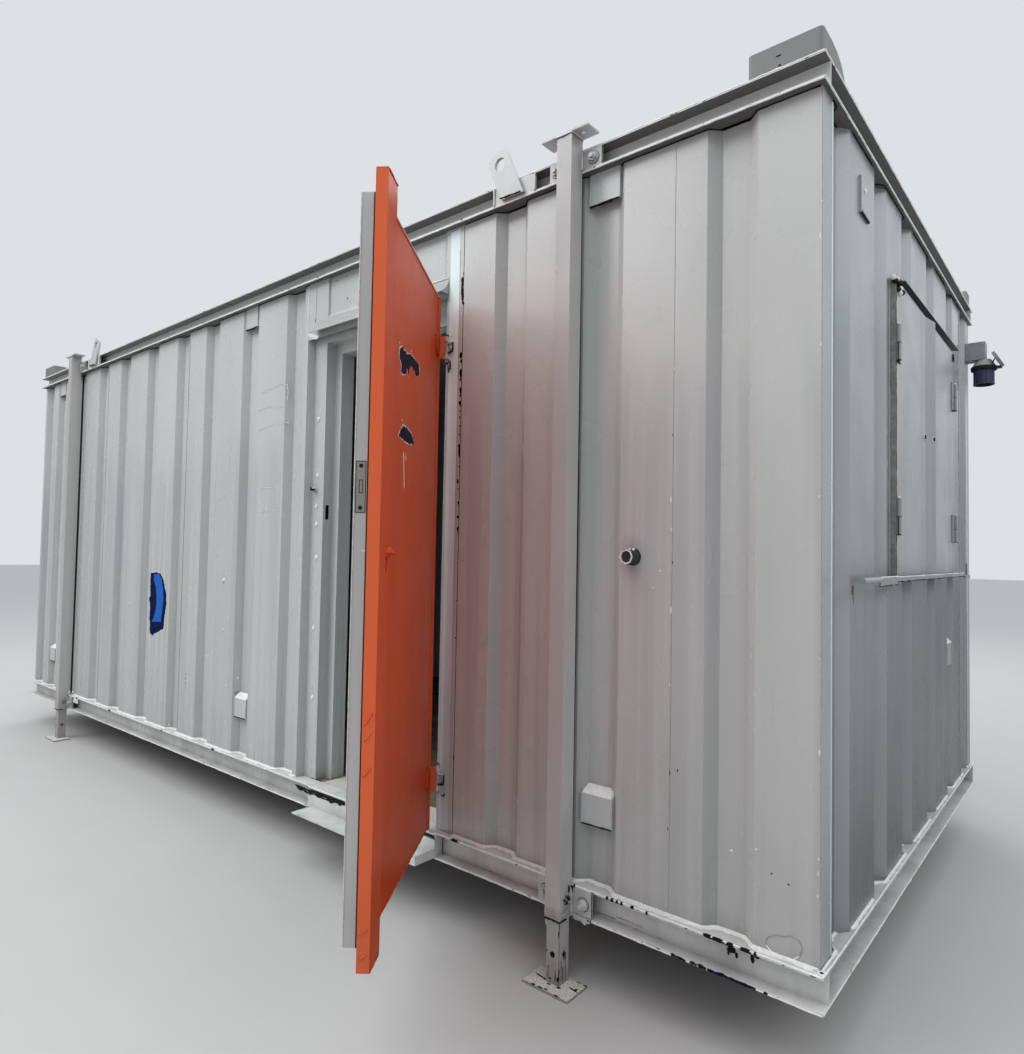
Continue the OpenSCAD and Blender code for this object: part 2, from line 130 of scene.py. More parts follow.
def heightOf(tree, vector):
    return addNode(tree, "ShaderNodeSeparateXYZ", {"Vector": vector}).outputs["Z"]


def tinted(colour, factor):
    return [min(1.0, c * factor) for c in colour]


def surfaceNormal(tree):
    return addNode(tree, "ShaderNodeNewGeometry").outputs["Normal"]


def ramp(tree, source, low, high, toLow=0.0, toHigh=1.0):
    return addNode(tree, "ShaderNodeMapRange", {"From Min": low, "From Max": high, "To Min": toLow,
        "To Max": toHigh, "Value": source}, interpolation_type="SMOOTHSTEP").outputs["Result"]


def blendColour(tree, factor, a, b, mode="MIX"):
    node = addNode(tree, "ShaderNodeMix", data_type="RGBA", blend_type=mode, clamp_factor=True)
    for index, value in ((0, factor), (6, a), (7, b)):
        if isinstance(value, (tuple, list)):
            value = tuple(value) + (1.0,) * (4 - len(value))
        setInput(tree, node.inputs[index], value)
    return node.outputs[2]


def noiseOut(tree, vector, scale, detail=3.0, rough=0.5, stretch=None, output="Fac"):
    if stretch:
        vector = addNode(tree, "ShaderNodeMapping", {"Scale": stretch, "Vector": vector}).outputs[0]
    node = addNode(tree, "ShaderNodeTexNoise", {"Detail": detail, "Roughness": rough, "Vector": vector,
        "Scale": scale})
    return node.outputs[output]


def makeRainGroup():
    # vertical runs that start at a ragged level and fade out towards the ground
    tree, gin, gout = newGroup("rainRuns", {"Level": 1.9, "Width": 14.0, "Raggedness": 0.5},
        ["Runs", "Below"])
    coords = objectCoords(tree)
    flat = addNode(tree, "ShaderNodeMapping", {"Scale": (1, 1, 0.02), "Vector": coords}).outputs[0]
    wide = noiseOut(tree, flat, gin.outputs["Width"], 2.0)
    edge = noiseOut(tree, flat, 9.0, 1.0)
    height = heightOf(tree, coords)
    shifted = plus(tree, height, times(tree, minus(tree, edge, 0.5), gin.outputs["Raggedness"]))
    below = ramp(tree, minus(tree, shifted, gin.outputs["Level"]), -0.28, 0.04, 1.0, 0.0)
    tree.links.new(times(tree, ramp(tree, wide, 0.42, 0.62), below), gout.inputs["Runs"])
    tree.links.new(below, gout.inputs["Below"])
    return tree


def makeBrushGroup():
    # rolled and brushed paint: orange peel, a few lumps, and the sheet's own slow waves
    tree, gin, gout = newGroup("paintSurface", {"Peel Scale": 160.0, "Peel": 0.25, "Waves": 1.0,
        "Lumps": 0.3}, ["Height"])
    coords = objectCoords(tree)
    peel = noiseOut(tree, coords, gin.outputs["Peel Scale"], 2.0, 0.6)
    slow = noiseOut(tree, coords, 2.1, 1.0, 0.4, (1, 1, 0.55))
    lump = ramp(tree, noiseOut(tree, coords, 34.0, 1.0, 0.3, (1, 1, 0.6)), 0.68, 0.8)
    total = plus(tree, times(tree, peel, times(tree, gin.outputs["Peel"], 0.0006)),
        times(tree, slow, times(tree, gin.outputs["Waves"], 0.012)))
    total = plus(tree, total, times(tree, lump, times(tree, gin.outputs["Lumps"], 0.0008)))
    tree.links.new(total, gout.inputs["Height"])
    return tree


def makeChipGroup():
    # paint broken off: within Edge Width of the edges, and as rare spots on the flats
    tree, gin, gout = newGroup("paintChips", {"Edge Width": 0.006, "Edge Amount": 0.5,
        "Spot Amount": 0.1, "Scale": 22.0}, ["Chips", "Edge"])
    coords = objectCoords(tree)
    bevel = addNode(tree, "ShaderNodeBevel", samples=2,
        inputs={"Radius": gin.outputs["Edge Width"]}).outputs["Normal"]
    plain = surfaceNormal(tree)
    same = dotted(tree, bevel, plain)
    edge = ramp(tree, same, 0.995, 0.86)
    grain = noiseOut(tree, coords, gin.outputs["Scale"], 5.0, 0.62)
    patchy = noiseOut(tree, coords, 2.6, 2.0)
    need = minus(tree, 1.04, times(tree, edge, gin.outputs["Edge Amount"]))
    need = minus(tree, need, times(tree, gin.outputs["Spot Amount"], 0.36))
    have = plus(tree, grain, times(tree, minus(tree, patchy, 0.5), 0.7))
    tree.links.new(ramp(tree, minus(tree, have, need), 0.0, 0.02), gout.inputs["Chips"])
    tree.links.new(edge, gout.inputs["Edge"])
    return tree


def makeDirtAndShadeGroup():
    # splash dirt low down, painted shade in sheltered corners and on undersides (black where the ambient
    # occlusion is low and where faces look down), speckles all over
    tree, gin, gout = newGroup("dirtAndShadeGroup", {"Top": 0.7, "Amount": 0.4, "Crevice": 0.3, "Under": 0.0},
        ["Dirt", "Specks", "Shade"])
    coords = objectCoords(tree)
    height = heightOf(tree, coords)
    low = ramp(tree, maths(tree, "DIVIDE", height, gin.outputs["Top"]), 0.15, 1.0, 1.0, 0.0)
    cloud = noiseOut(tree, coords, 6.0, 5.0, 0.65, (1, 1, 0.5))
    dirt = times(tree, times(tree, low, ramp(tree, cloud, 0.3, 0.75)), gin.outputs["Amount"])
    fine = noiseOut(tree, coords, 260.0, 1.0)
    clear = addNode(tree, "ShaderNodeAmbientOcclusion", {"Distance": 0.06}, samples=2).outputs["AO"]
    crease = times(tree, ramp(tree, clear, 0.25, 0.8, 1.0, 0.0), gin.outputs["Crevice"])
    facing = heightOf(tree, surfaceNormal(tree))
    under = times(tree, ramp(tree, facing, -0.55, -0.9), gin.outputs["Under"])
    tree.links.new(dirt, gout.inputs["Dirt"])
    tree.links.new(times(tree, ramp(tree, fine, 0.74, 0.8), gin.outputs["Amount"]),
        gout.inputs["Specks"])
    tree.links.new(maths(tree, "MAXIMUM", crease, under), gout.inputs["Shade"])
    return tree


rainRuns = makeRainGroup()
paintSurface = makeBrushGroup()
paintChips = makeChipGroup()
dirtAndShadeGroup = makeDirtAndShadeGroup()


def placeGroup(tree, group, values):
    return addNode(tree, "ShaderNodeGroup", values, node_tree=group)


def addBump(tree, shader, height, strength, distance):
    bump = addNode(tree, "ShaderNodeBump", {"Strength": strength, "Distance": distance,
        "Height": height})
    tree.links.new(bump.outputs["Normal"], shader.inputs["Normal"])


def newMaterial(name, **shader):
    material = bpy.data.materials.new(name)
    material.use_nodes = True
    tree = material.node_tree
    principled = next(n for n in tree.nodes if n.type == "BSDF_PRINCIPLED")
    for key, value in shader.items():
        principled.inputs[key.replace("_", " ")].default_value = value
    return material, tree, principled


def paintedSteel(name, look):
    # one maker for all the coated steel; look holds what differs
    material, tree, shader = newMaterial(name, Specular_IOR_Level=look["gloss"])
    coords = objectCoords(tree)
    base = look["colour"]
    tint = noiseOut(tree, coords, look["tintScale"], 3.0, 0.55, (1, 1, 0.4))
    colour = blendColour(tree, ramp(tree, tint, 0.3, 0.7), tinted(base, 0.93), tinted(base, 1.05))
    rough = ramp(tree, noiseOut(tree, coords, 5.0, 4.0), 0.25, 0.75, look["rough"] - 0.05,
        look["rough"] + 0.07)
    if look["runs"]:
        rain = placeGroup(tree, rainRuns, {"Level": look["runLevel"], "Width": look["runWidth"]})
        colour = blendColour(tree, times(tree, rain.outputs["Runs"], look["runs"]), colour,
            tinted(base[:2], 0.74) + [base[2] * 0.8])
        colour = blendColour(tree, times(tree, rain.outputs["Below"], look["runs"] * 0.5), colour,
            tinted(base, 0.87))
        rough = minus(tree, rough, times(tree, rain.outputs["Runs"], 0.06))
    chips = placeGroup(tree, paintChips, {"Edge Width": look["edgeWidth"],
        "Edge Amount": look["edgeChips"], "Spot Amount": look["spotChips"], "Scale": look["chipScale"]})
    worn = placeGroup(tree, dirtAndShadeGroup, {"Top": look["dirtTop"], "Amount": look["dirt"],
        "Crevice": look["crevice"], "Under": look["under"]})
    if look["fade"]:
        # painted shade and painted reflection of the ground: darker along the way given, where the paint
        # mirrors the ground
        way, low, high, amount = look["fade"]
        along = dotted(tree, coords, way)
        colour = blendColour(tree, ramp(tree, along, low, high, 0.0, amount), colour,
            tinted(base, 0.12))
    if look["warm"]:
        # a warmer tone towards one end of the wall
        way, low, high, tone = look["warm"]
        along = dotted(tree, coords, way)
        colour = blendColour(tree, ramp(tree, along, low, high), colour, tone, "MULTIPLY")
    for way, amount, factor in look["paintedSideLight"]:
        # painted light and shade: faces that look this way get the base colour times factor, lighter or
        # darker as if lit or shaded from that side
        side = surfaceNormal(tree)
        toward = dotted(tree, side, way)
        colour = blendColour(tree, ramp(tree, toward, 0.8, 0.95, 0.0, amount), colour,
            [min(1.0, c * f) for c, f in zip(base, factor)])
    if look["rustSide"]:
        side = surfaceNormal(tree)
        toward = dotted(tree, side, look["rustSide"])
        patch = times(tree, ramp(tree, toward, 0.6, 0.9), ramp(tree,
            noiseOut(tree, coords, 38.0, 5.0, 0.7), 0.3, 0.6, 0.3, 1.0))
        colour = blendColour(tree, patch, colour, (0.25, 0.225, 0.19))
    # the Shade mask is painted shade in creases and on undersides, laid on with the shade colour; Dirt and
    # Specks are real dirt
    palest = times(tree, chips.outputs["Edge"], look["edgePale"])
    for factor, tone in ((palest, tinted(base, 1.25)), (worn.outputs["Dirt"], look["dirtColour"]),
            (worn.outputs["Shade"], look["shadeColour"]), (worn.outputs["Specks"], look["speckColour"]),
            (chips.outputs["Chips"], look["bare"])):
        colour = blendColour(tree, factor, colour, tone)
    rough = maths(tree, "ADD", rough, times(tree, worn.outputs["Dirt"], 0.3), clamp=True)
    surface = placeGroup(tree, paintSurface, {"Peel Scale": look["peelScale"], "Peel": look["peel"],
        "Waves": look["waves"], "Lumps": look["lumps"]})
    height = minus(tree, surface.outputs["Height"], times(tree, chips.outputs["Chips"], 0.0006))
    bump = addNode(tree, "ShaderNodeBump", {"Strength": 1.0, "Distance": 1.0, "Height": height})
    bevel = addNode(tree, "ShaderNodeBevel", samples=2, inputs={"Radius": look["round"]})
    tree.links.new(bevel.outputs["Normal"], bump.inputs["Normal"])
    for source, label in ((colour, "Base Color"), (rough, "Roughness"),
            (bump.outputs["Normal"], "Normal")):
        tree.links.new(source, shader.inputs[label])
    return material


# what a paint is unless its row says otherwise; colours are linear
usualPaint = dict(gloss=0.5, tintScale=1.6, runs=None, runLevel=1.9, runWidth=16.0, fade=None,
    warm=None, paintedSideLight=(), rustSide=None, edgeChips=0.16, spotChips=0.1, chipScale=22.0,
    edgeWidth=0.006, edgePale=0.35, bare=(0.02, 0.021, 0.026), dirt=0.3, dirtTop=0.75, crevice=0.3,
    under=0.0, dirtColour=(0.16, 0.145, 0.13), shadeColour=(0.05, 0.043, 0.038), peel=0.1,
    speckColour=(0.2, 0.19, 0.18), peelScale=170.0, waves=0.05, lumps=0.12, round=0.0018)
# the fade, the side factors, crevice and under put light and shade into the colour: the fade is painted
# shade towards the ground, the side factors paint faces lighter or darker by the way they look, crevice
# and under give painted shade in creases and on undersides
paints = {
    "wallPaint": dict(colour=(0.525, 0.546, 0.537), rough=0.26, runs=0.5, runLevel=1.95,
        fade=((0.3, 0, -1), -0.4, 0.4, 0.1), warm=((1, 0, 0), 0.9, 2.6, (1.0, 0.968, 0.955)),
        paintedSideLight=[((0.7, -0.7, 0), 0.3, (0.3, 0.3, 0.3)), ((-0.7, -0.7, 0), 0.4, (1.25, 1.25, 1.25))],
        edgeChips=0.14, spotChips=0.02, dirt=0.22, crevice=0.35, waves=0.14),
    "hoodPaint": dict(colour=(0.525, 0.55, 0.545), rough=0.26, fade=((1, 0, 0), 2.6, 2.9, 0.42),
        edgeChips=0.14, spotChips=0.02, dirt=0.2, crevice=0.05, peel=0.2),
    "postPaint": dict(colour=(0.36, 0.38, 0.395), rough=0.28, fade=((0, 0, -1), -1.0, -0.2, 0.15),
        edgeChips=0.3, crevice=0.2, peel=0.2, waves=0.1, lumps=0.2),
    # a fresh pale paint, made paler still as painted light; it also gives the painted highlight of the
    # post edges
    "stripPaintAndLight": dict(colour=(0.84, 0.95, 0.94), rough=0.32, gloss=0.05, runs=0.3,
        fade=((0, 0, -1), -1.9, -0.4, 0.4), edgeChips=0.1, spotChips=0.02, dirt=0.15, crevice=0.1,
        peel=0.25, waves=0.1, lumps=0.3),
    # the end wall's paint is darker than the long walls' as painted shade, the end wall facing away from
    # the light
    "endWallShadedPaint": dict(colour=(0.33, 0.345, 0.355), rough=0.24, runs=0.4, runLevel=2.2,
        fade=((0, 0.45, -1), -1.9, -0.5, 0.66), paintedSideLight=[((0.7, -0.7, 0), 0.3, (1.9, 1.9, 1.9))],
        spotChips=0.02, dirt=0.12, crevice=0.4, waves=0.14),
    "railPaint": dict(colour=(0.72, 0.73, 0.71), rough=0.3, edgeChips=0.36, spotChips=0.12,
        edgePale=0.5, dirt=0.5, dirtTop=0.6, crevice=0.5, under=0.93, peel=0.8, peelScale=70.0,
        lumps=0.8),
    "topRailPaint": dict(colour=(0.6, 0.62, 0.6), rough=0.3, edgeChips=0.3, edgePale=0.4, crevice=0.2,
        under=0.9, peel=0.5, peelScale=90.0, lumps=0.6),
    "legPaint": dict(colour=(0.46, 0.445, 0.44), rough=0.35, edgeChips=0.3, spotChips=0.12, dirt=0.65,
        dirtTop=0.6, crevice=0.5, peel=0.6, peelScale=90.0, waves=0.03, lumps=0.8),
    "fittingPaint": dict(colour=(0.52, 0.53, 0.525), rough=0.32, edgeChips=0.26, edgePale=0.4, dirt=0.4,
        crevice=0.5, under=0.6, peel=0.6, peelScale=90.0, waves=0.02, lumps=0.8),
    "blockPaint": dict(colour=(0.172, 0.186, 0.184), rough=0.4, spotChips=0.04, edgePale=0.3,
        dirtTop=6.0, peel=0.6, peelScale=90.0, lumps=0.5),
    # the canopy's underside is painted shade, near black
    "canopyPaint": dict(colour=(0.4, 0.41, 0.405), rough=0.32, edgeChips=0.3, edgePale=0.3, under=0.97,
        shadeColour=(0.012, 0.011, 0.011), peel=0.4, lumps=0.4),
    "shutterPaint": dict(colour=(0.33, 0.348, 0.362), rough=0.27, runs=0.4, runLevel=2.2,
        spotChips=0.02, crevice=0.4, waves=0.14),
    "framePaint": dict(colour=(0.4, 0.42, 0.435), rough=0.3, rustSide=(0, -1, 0), edgeChips=0.4,
        peel=0.3, lumps=0.3),
    "doorOrangePaint": dict(colour=(0.66, 0.075, 0.012), rough=0.36, gloss=0.3,
        fade=((0, 0, -1), -1.2, -0.2, 0.14), paintedSideLight=[((0.6, -0.8, 0), 0.8, (1.12, 1.8, 3.6))],
        spotChips=0.05, edgePale=0.1, dirt=0.25, dirtTop=0.9, crevice=0.15,
        dirtColour=(0.2, 0.07, 0.03), peel=0.35, peelScale=120.0, lumps=0.5),
    "doorGreyPaint": dict(colour=(0.52, 0.565, 0.558), rough=0.36, edgeChips=0.12, spotChips=0.05,
        edgePale=0.3, dirt=0.25, crevice=0.1, peel=0.2, lumps=0.2),
    "roofPaint": dict(colour=(0.46, 0.47, 0.46), rough=0.45, edgeChips=0.15, dirt=0.4, dirtTop=8.0,
        peel=0.4, waves=0.2, lumps=0.3),
}
materials = {name: paintedSteel(name, {**usualPaint, **look}) for name, look in paints.items()}


def makeBareSteel():
    material, tree, shader = newMaterial("bareSteel", Metallic=1.0, Roughness=0.4)
    coords = objectCoords(tree)
    tone = noiseOut(tree, coords, 90.0, 4.0, 0.6)
    rust = ramp(tree, noiseOut(tree, coords, 26.0, 4.0, 0.65), 0.56, 0.7)
    colour = blendColour(tree, ramp(tree, tone, 0.3, 0.7), (0.3, 0.295, 0.285), (0.56, 0.55, 0.53))
    tree.links.new(blendColour(tree, times(tree, rust, 0.6), colour, (0.16, 0.09, 0.055)),
        shader.inputs["Base Color"])
    tree.links.new(ramp(tree, tone, 0.2, 0.8, 0.3, 0.55), shader.inputs["Roughness"])
    addBump(tree, shader, tone, 0.4, 0.0006)
    return material


def makeBoard(name, pale, dark, rough):
    material, tree, shader = newMaterial(name, Roughness=rough)
    coords = objectCoords(tree)
    grain = noiseOut(tree, coords, 9.0, 6.0, 0.6, (1, 1, 0.08))
    scuffs = ramp(tree, noiseOut(tree, coords, 7.0, 5.0, 0.7), 0.55, 0.75)
    colour = blendColour(tree, ramp(tree, grain, 0.35, 0.65), dark, pale)
    tree.links.new(blendColour(tree, times(tree, scuffs, 0.35), colour, tinted(dark, 0.6)),
        shader.inputs["Base Color"])
    addBump(tree, shader, grain, 0.5, 0.001)
    return material


def makePlastic(name, colour, rough):
    material, tree, shader = newMaterial(name, Roughness=rough)
    coords = objectCoords(tree)
    fade = ramp(tree, noiseOut(tree, coords, 14.0, 4.0), 0.3, 0.75)
    tree.links.new(blendColour(tree, fade, colour, [min(1.0, c * 1.35 + 0.02) for c in colour]),
        shader.inputs["Base Color"])
    addBump(tree, shader, noiseOut(tree, coords, 420.0, 2.0), 0.25, 0.0005)
    return material


def makePlain(name, colour, rough, metallic=0.0, grainScale=60.0, contrast=0.18, gloss=0.5):
    material, tree, shader = newMaterial(name, Roughness=rough, Metallic=metallic,
        Specular_IOR_Level=gloss)
    tone = noiseOut(tree, objectCoords(tree), grainScale, 4.0, 0.6)
    tree.links.new(blendColour(tree, ramp(tree, tone, 0.3, 0.7), tinted(colour, 1 - contrast),
        tinted(colour, 1 + contrast)), shader.inputs["Base Color"])
    addBump(tree, shader, tone, 0.5, 0.0005)
    return material


def makeGlass():
    material, tree, shader = newMaterial("windowGlass", Roughness=0.05, Transmission_Weight=1.0,
        IOR=1.45)
    dust = ramp(tree, noiseOut(tree, objectCoords(tree), 5.0, 5.0), 0.4, 0.8, 0.0, 0.25)
    tree.links.new(blendColour(tree, dust, (0.88, 0.94, 0.93), (0.6, 0.6, 0.57)),
        shader.inputs["Base Color"])
    return material


plainFinishes = {
    "chippedBlack": dict(colour=(0.01, 0.01, 0.013), rough=0.7, gloss=0.12),
    "oldBlue": dict(colour=(0.004, 0.11, 0.5), rough=0.5, gloss=0.15),
    "deepBlue": dict(colour=(0.004, 0.011, 0.055), rough=0.7, gloss=0.03),
    "chippedRim": dict(colour=(0.72, 0.71, 0.69), rough=0.4),
    "sealant": dict(colour=(0.82, 0.83, 0.81), rough=0.3, grainScale=90.0, contrast=0.08),
    "rubberSeal": dict(colour=(0.014, 0.014, 0.015), rough=0.7, gloss=0.2),
    "jointGrey": dict(colour=(0.3, 0.31, 0.31), rough=0.6, gloss=0.2),
    "chippedBlue": dict(colour=(0.009, 0.011, 0.025), rough=0.6, gloss=0.12),
    "darkWire": dict(colour=(0.12, 0.12, 0.118), rough=0.35, metallic=0.8),
    "oldThread": dict(colour=(0.035, 0.034, 0.034), rough=0.45, contrast=0.5, gloss=0.3),
    "zincBolt": dict(colour=(0.5, 0.5, 0.47), rough=0.38, metallic=0.85),
    "shadeDirt": dict(colour=(0.018, 0.016, 0.015), rough=0.9, gloss=0.05),
    "plateGrey": dict(colour=(0.33, 0.34, 0.32), rough=0.4, metallic=0.4, grainScale=200.0,
        contrast=0.1),
    "platePaint": dict(colour=(0.62, 0.6, 0.56), rough=0.55, grainScale=210.0, contrast=0.35),
    # a darker red than the door's orange, as painted shade on the hinge cheeks
    "hingeRedShaded": dict(colour=(0.5, 0.055, 0.018), rough=0.45, contrast=0.12, gloss=0.2),
    "rustyEdge": dict(colour=(0.2, 0.12, 0.075), rough=0.7, grainScale=70.0, contrast=0.5),
}
materials.update({name: makePlain(name, **look) for name, look in plainFinishes.items()})
materials["bareSteel"] = makeBareSteel()
materials["liningBoard"] = makeBoard("liningBoard", (0.5, 0.55, 0.6), (0.43, 0.48, 0.53), 0.5)
materials["floorBoard"] = makeBoard("floorBoard", (0.2, 0.155, 0.11), (0.11, 0.085, 0.06), 0.7)
materials["socketBlue"] = makePlastic("socketBlue", (0.01, 0.016, 0.055), 0.4)
materials["inletGrey"] = makePlastic("inletGrey", (0.22, 0.235, 0.235), 0.45)
materials["windowGlass"] = makeGlass()
print("finishes made:", len(materials))

finishOf = {
    "wallPaint": ["wall_front_left", "wall_front_right", "wall_over_door", "wall_back", "wall_end_left",
        "door_jamb_lock", "door_jamb_hinge", "door_head"],
    "hoodPaint": ["vent_hoods"],
    "endWallShadedPaint": ["wall_end_window", "window_sill_bar"],
    "shutterPaint": ["window_shutters", "shutter_hinges"],
    "framePaint": ["window_frame"],
    "canopyPaint": ["window_canopy", "door_canopy"],
    "blockPaint": ["roof_corner_blocks"],
    "postPaint": ["corner_posts"],
    "railPaint": ["base_rails_long", "base_rails_end", "door_sill", "door_step_plate", "floor_bearers"],
    "topRailPaint": ["top_rails_long", "top_rails_end"],
    "legPaint": ["jack_leg_tubes", "jack_leg_inners"],
    "fittingPaint": ["jack_leg_brackets", "lifting_eyes", "door_hinge_pins"],
    "oldThread": ["waste_pipe"],
    "roofPaint": ["roof_sheet"],
    "doorOrangePaint": ["door_skin", "door_hinge_lugs"],
    "doorGreyPaint": ["door_leaf"],
    "bareSteel": ["jack_leg_pins"],
    "plateGrey": ["door_lock_plate"],
    "liningBoard": ["lining_long_walls", "lining_end_walls", "ceiling_lining"],
    "floorBoard": ["floor_deck"],
    "windowGlass": ["window_glass"],
    "socketBlue": ["power_inlet_socket"],
    "inletGrey": ["power_inlet_box", "power_inlet_lid"],
}
for finish, names in finishOf.items():
    for name in names:
        slots = nodes[name].data.materials
        slots.clear()
        slots.append(materials[finish])
bare = set(nodes) - {n for names in finishOf.values() for n in names}
print("parts painted:", len(nodes) - len(bare), "left:", sorted(bare))


# mesh helpers
def dress(name, mesh, finish, body="cabin", smooth=False):
    shape = bmesh.new()
    shape.from_mesh(mesh)
    bmesh.ops.recalc_face_normals(shape, faces=shape.faces)
    for face in shape.faces:
        face.smooth = smooth
    shape.to_mesh(mesh)
    shape.free()
    if body == "door":
        mesh.transform(doorTurn)
    if finish:
        mesh.materials.clear()
        mesh.materials.append(materials[finish])
    piece = bpy.data.objects.new(name, mesh)
    scene.collection.objects.link(piece)
    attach(piece, body)
    return piece


def around(axis, sides):
    # the axis at unit length and the ways that point off it, one for each side
    axis = Vector(axis).normalized()
    side = axis.orthogonal().normalized()
    other = axis.cross(side)
    turns = [2 * math.pi * k / sides for k in range(sides)]
    return axis, [side * math.cos(a) + other * math.sin(a) for a in turns]


class Shapes:
    # collects closed solids in the cabin's millimetres until they become one piece
    def __init__(self):
        self.verts, self.faces = [], []

    def prism(self, outline, out, depth, sink=0.6):
        # outline lies on the surface; the solid reaches sink below it and depth above
        out = Vector(out)
        base = len(self.verts)
        count = len(outline)
        self.verts += [Vector(p) - out * sink for p in outline] + [Vector(p) + out * depth
            for p in outline]
        self.faces.append([base + i for i in range(count)])
        self.faces.append([base + count + i for i in range(count)])
        for i in range(count):
            after = (i + 1) % count
            self.faces.append([base + i, base + after, base + count + after, base + count + i])
        return self

    def patch(self, place, outline, out, depth, sink=0.6):
        return self.prism([place(*p) for p in outline], out, depth, sink)

    def band(self, place, low, high, out, depth, sink=0.6):
        # rectangle between two corners of the surface
        (u0, v0), (u1, v1) = low, high
        return self.patch(place, [(u0, v0), (u1, v0), (u1, v1), (u0, v1)], out, depth, sink)

    def blots(self, place, rows, seed, out, depth, count=14):
        # rows are (u, v, half width, half height)
        for i, row in enumerate(rows):
            self.patch(place, blot(*row, seed + i, count), out, depth)

    def box(self, low, high):
        x0, y0, z0 = low
        x1, y1, z1 = high
        self.prism([(x0, y0, z0), (x1, y0, z0), (x1, y1, z0), (x0, y1, z0)], (0, 0, 1), z1 - z0, 0)

    def stack(self, rings):
        # closed solid through equally long rings of points
        base, count = len(self.verts), len(rings[0])
        self.verts += [point for level in rings for point in level]
        last = base + (len(rings) - 1) * count
        for start in range(base, last, count):
            for k in range(count):
                a, b = start + k, start + (k + 1) % count
                self.faces.append([a, b, b + count, a + count])
        self.faces += [list(range(base, base + count)), list(range(last, last + count))]
        return self

    def turned(self, start, axis, profile, sides=24):
        # closed lathe: profile is (distance along the axis, radius) pairs
        axis, ways = around(axis, sides)
        return self.stack([[Vector(start) + axis * along + way * radius for way in ways]
            for along, radius in profile])

    def tube(self, start, axis, low, high, inner, outer, sides=24):
        # ring with a square section, from low to high along the axis
        axis, ways = around(axis, sides)
        base = len(self.verts)
        for way in ways:
            for along, radius in ((low, inner), (high, inner), (high, outer), (low, outer)):
                self.verts.append(Vector(start) + axis * along + way * radius)
        for k in range(sides):
            a, b = base + 4 * k, base + 4 * ((k + 1) % sides)
            self.faces += [[a + i, a + (i + 1) % 4, b + (i + 1) % 4, b + i] for i in range(4)]
        return self

    def ribbon(self, near, far, out, depth, sink=0.4):
        # closed strip between two equally long lines that lie on one surface
        out = Vector(out)
        base, count = len(self.verts), len(near)
        for shift in (-sink, depth):
            self.verts += [Vector(p) + out * shift for p in near] + [Vector(p) + out * shift
                for p in far]
        up = 2 * count
        for i in range(count - 1):
            a, b, c, e = base + i, base + i + 1, base + count + i, base + count + i + 1
            self.faces += [[a, b, e, c], [a + up, b + up, e + up, c + up], [a, b, b + up, a + up],
                [c, e, e + up, c + up]]
        for i in (0, count - 1):
            a, c = base + i, base + count + i
            self.faces.append([a, c, c + up, a + up])

    def lump(self, place, out, u, v, half, tall, height, seed):
        # rounded uneven blob of paint or weld on a surface
        out = Vector(out)
        outline = blot(0, 0, half, tall, seed, 12)
        levels = ((-0.5, 1.0), (height * 0.35, 0.93), (height * 0.75, 0.7), (height, 0.3))
        return self.stack([[Vector(place(u + p.x * size, v + p.y * size)) + out * up for p in outline]
            for up, size in levels])

    def piece(self, name, finish, body="cabin", smooth=False):
        mesh = bpy.data.meshes.new(name)
        mesh.from_pydata([tuple(spot(*v)) for v in self.verts], [], self.faces)
        mesh.update()
        return dress(name, mesh, finish, body, smooth)


def ragged(outline, step, jitter, seed):
    # breaks a 2-D outline into short uneven lengths
    rand = random.Random(seed)
    result = []
    for a, b in zip(outline, outline[1:] + outline[:1]):
        a, b = Vector(a), Vector(b)
        parts = max(1, round((b - a).length / step))
        side = Vector((-(b - a).y, (b - a).x)).normalized() if (b - a).length else Vector((0, 0))
        for k in range(parts):
            offset = 0 if k == 0 else rand.uniform(-1, 1) * jitter
            result.append(a.lerp(b, (k + rand.uniform(-0.2, 0.2) * (k > 0)) / parts) + side * offset)
    return result


def grown(outline, by):
    centre = sum((Vector(p) for p in outline), Vector((0, 0))) / len(outline)
    return [Vector(p) + (Vector(p) - centre).normalized() * by for p in outline]


def blot(u, v, half, tall, seed, count=14):
    # uneven rounded outline, half wide and tall high each way from its middle
    rand = random.Random(seed)
    turns = [2 * math.pi * k / count for k in range(count)]
    return [Vector((u + math.cos(a) * half * rand.uniform(0.65, 1.1),
        v + math.sin(a) * tall * rand.uniform(0.7, 1.1))) for a in turns]


def addChip(pale, dark, place, out, u, v, half, tall, seed, rim=1.6):
    # paint broken off down to the dark coat, with the pale coat showing round it
    shape = blot(u, v, half, tall, seed)
    pale.patch(place, grown(shape, rim), out, 0.35)
    dark.patch(place, shape, out, 0.7)


def onFront(y):
    # turns (along, up) into a place on the plane at that y
    return lambda u, v: (u, y, v)


def onEnd(x):
    return lambda u, v: (x, u, v)


# geometry-node trees
def geometryNode(tree, kind, inputs=None, **props):
    return addNode(tree, "GeometryNode" + kind, inputs, **props).outputs[0]


def facingOf(tree):
    return geometryNode(tree, "InputNamedAttribute", {"Name": "facing"}, data_type="FLOAT_VECTOR")


def newTree(name, inputs):
    # whole numbers become integer inputs
    tree = bpy.data.node_groups.new(name, "GeometryNodeTree")
    tree.interface.new_socket(name="Geometry", in_out="INPUT", socket_type="NodeSocketGeometry")
    for label, value in inputs.items():
        kind = "NodeSocketInt" if isinstance(value, int) else "NodeSocketFloat"
        tree.interface.new_socket(name=label, in_out="INPUT", socket_type=kind).default_value = value
    tree.interface.new_socket(name="Material", in_out="INPUT", socket_type="NodeSocketMaterial")
    tree.interface.new_socket(name="Geometry", in_out="OUTPUT", socket_type="NodeSocketGeometry")
    return tree, tree.nodes.new("NodeGroupInput").outputs, tree.nodes.new("NodeGroupOutput").inputs


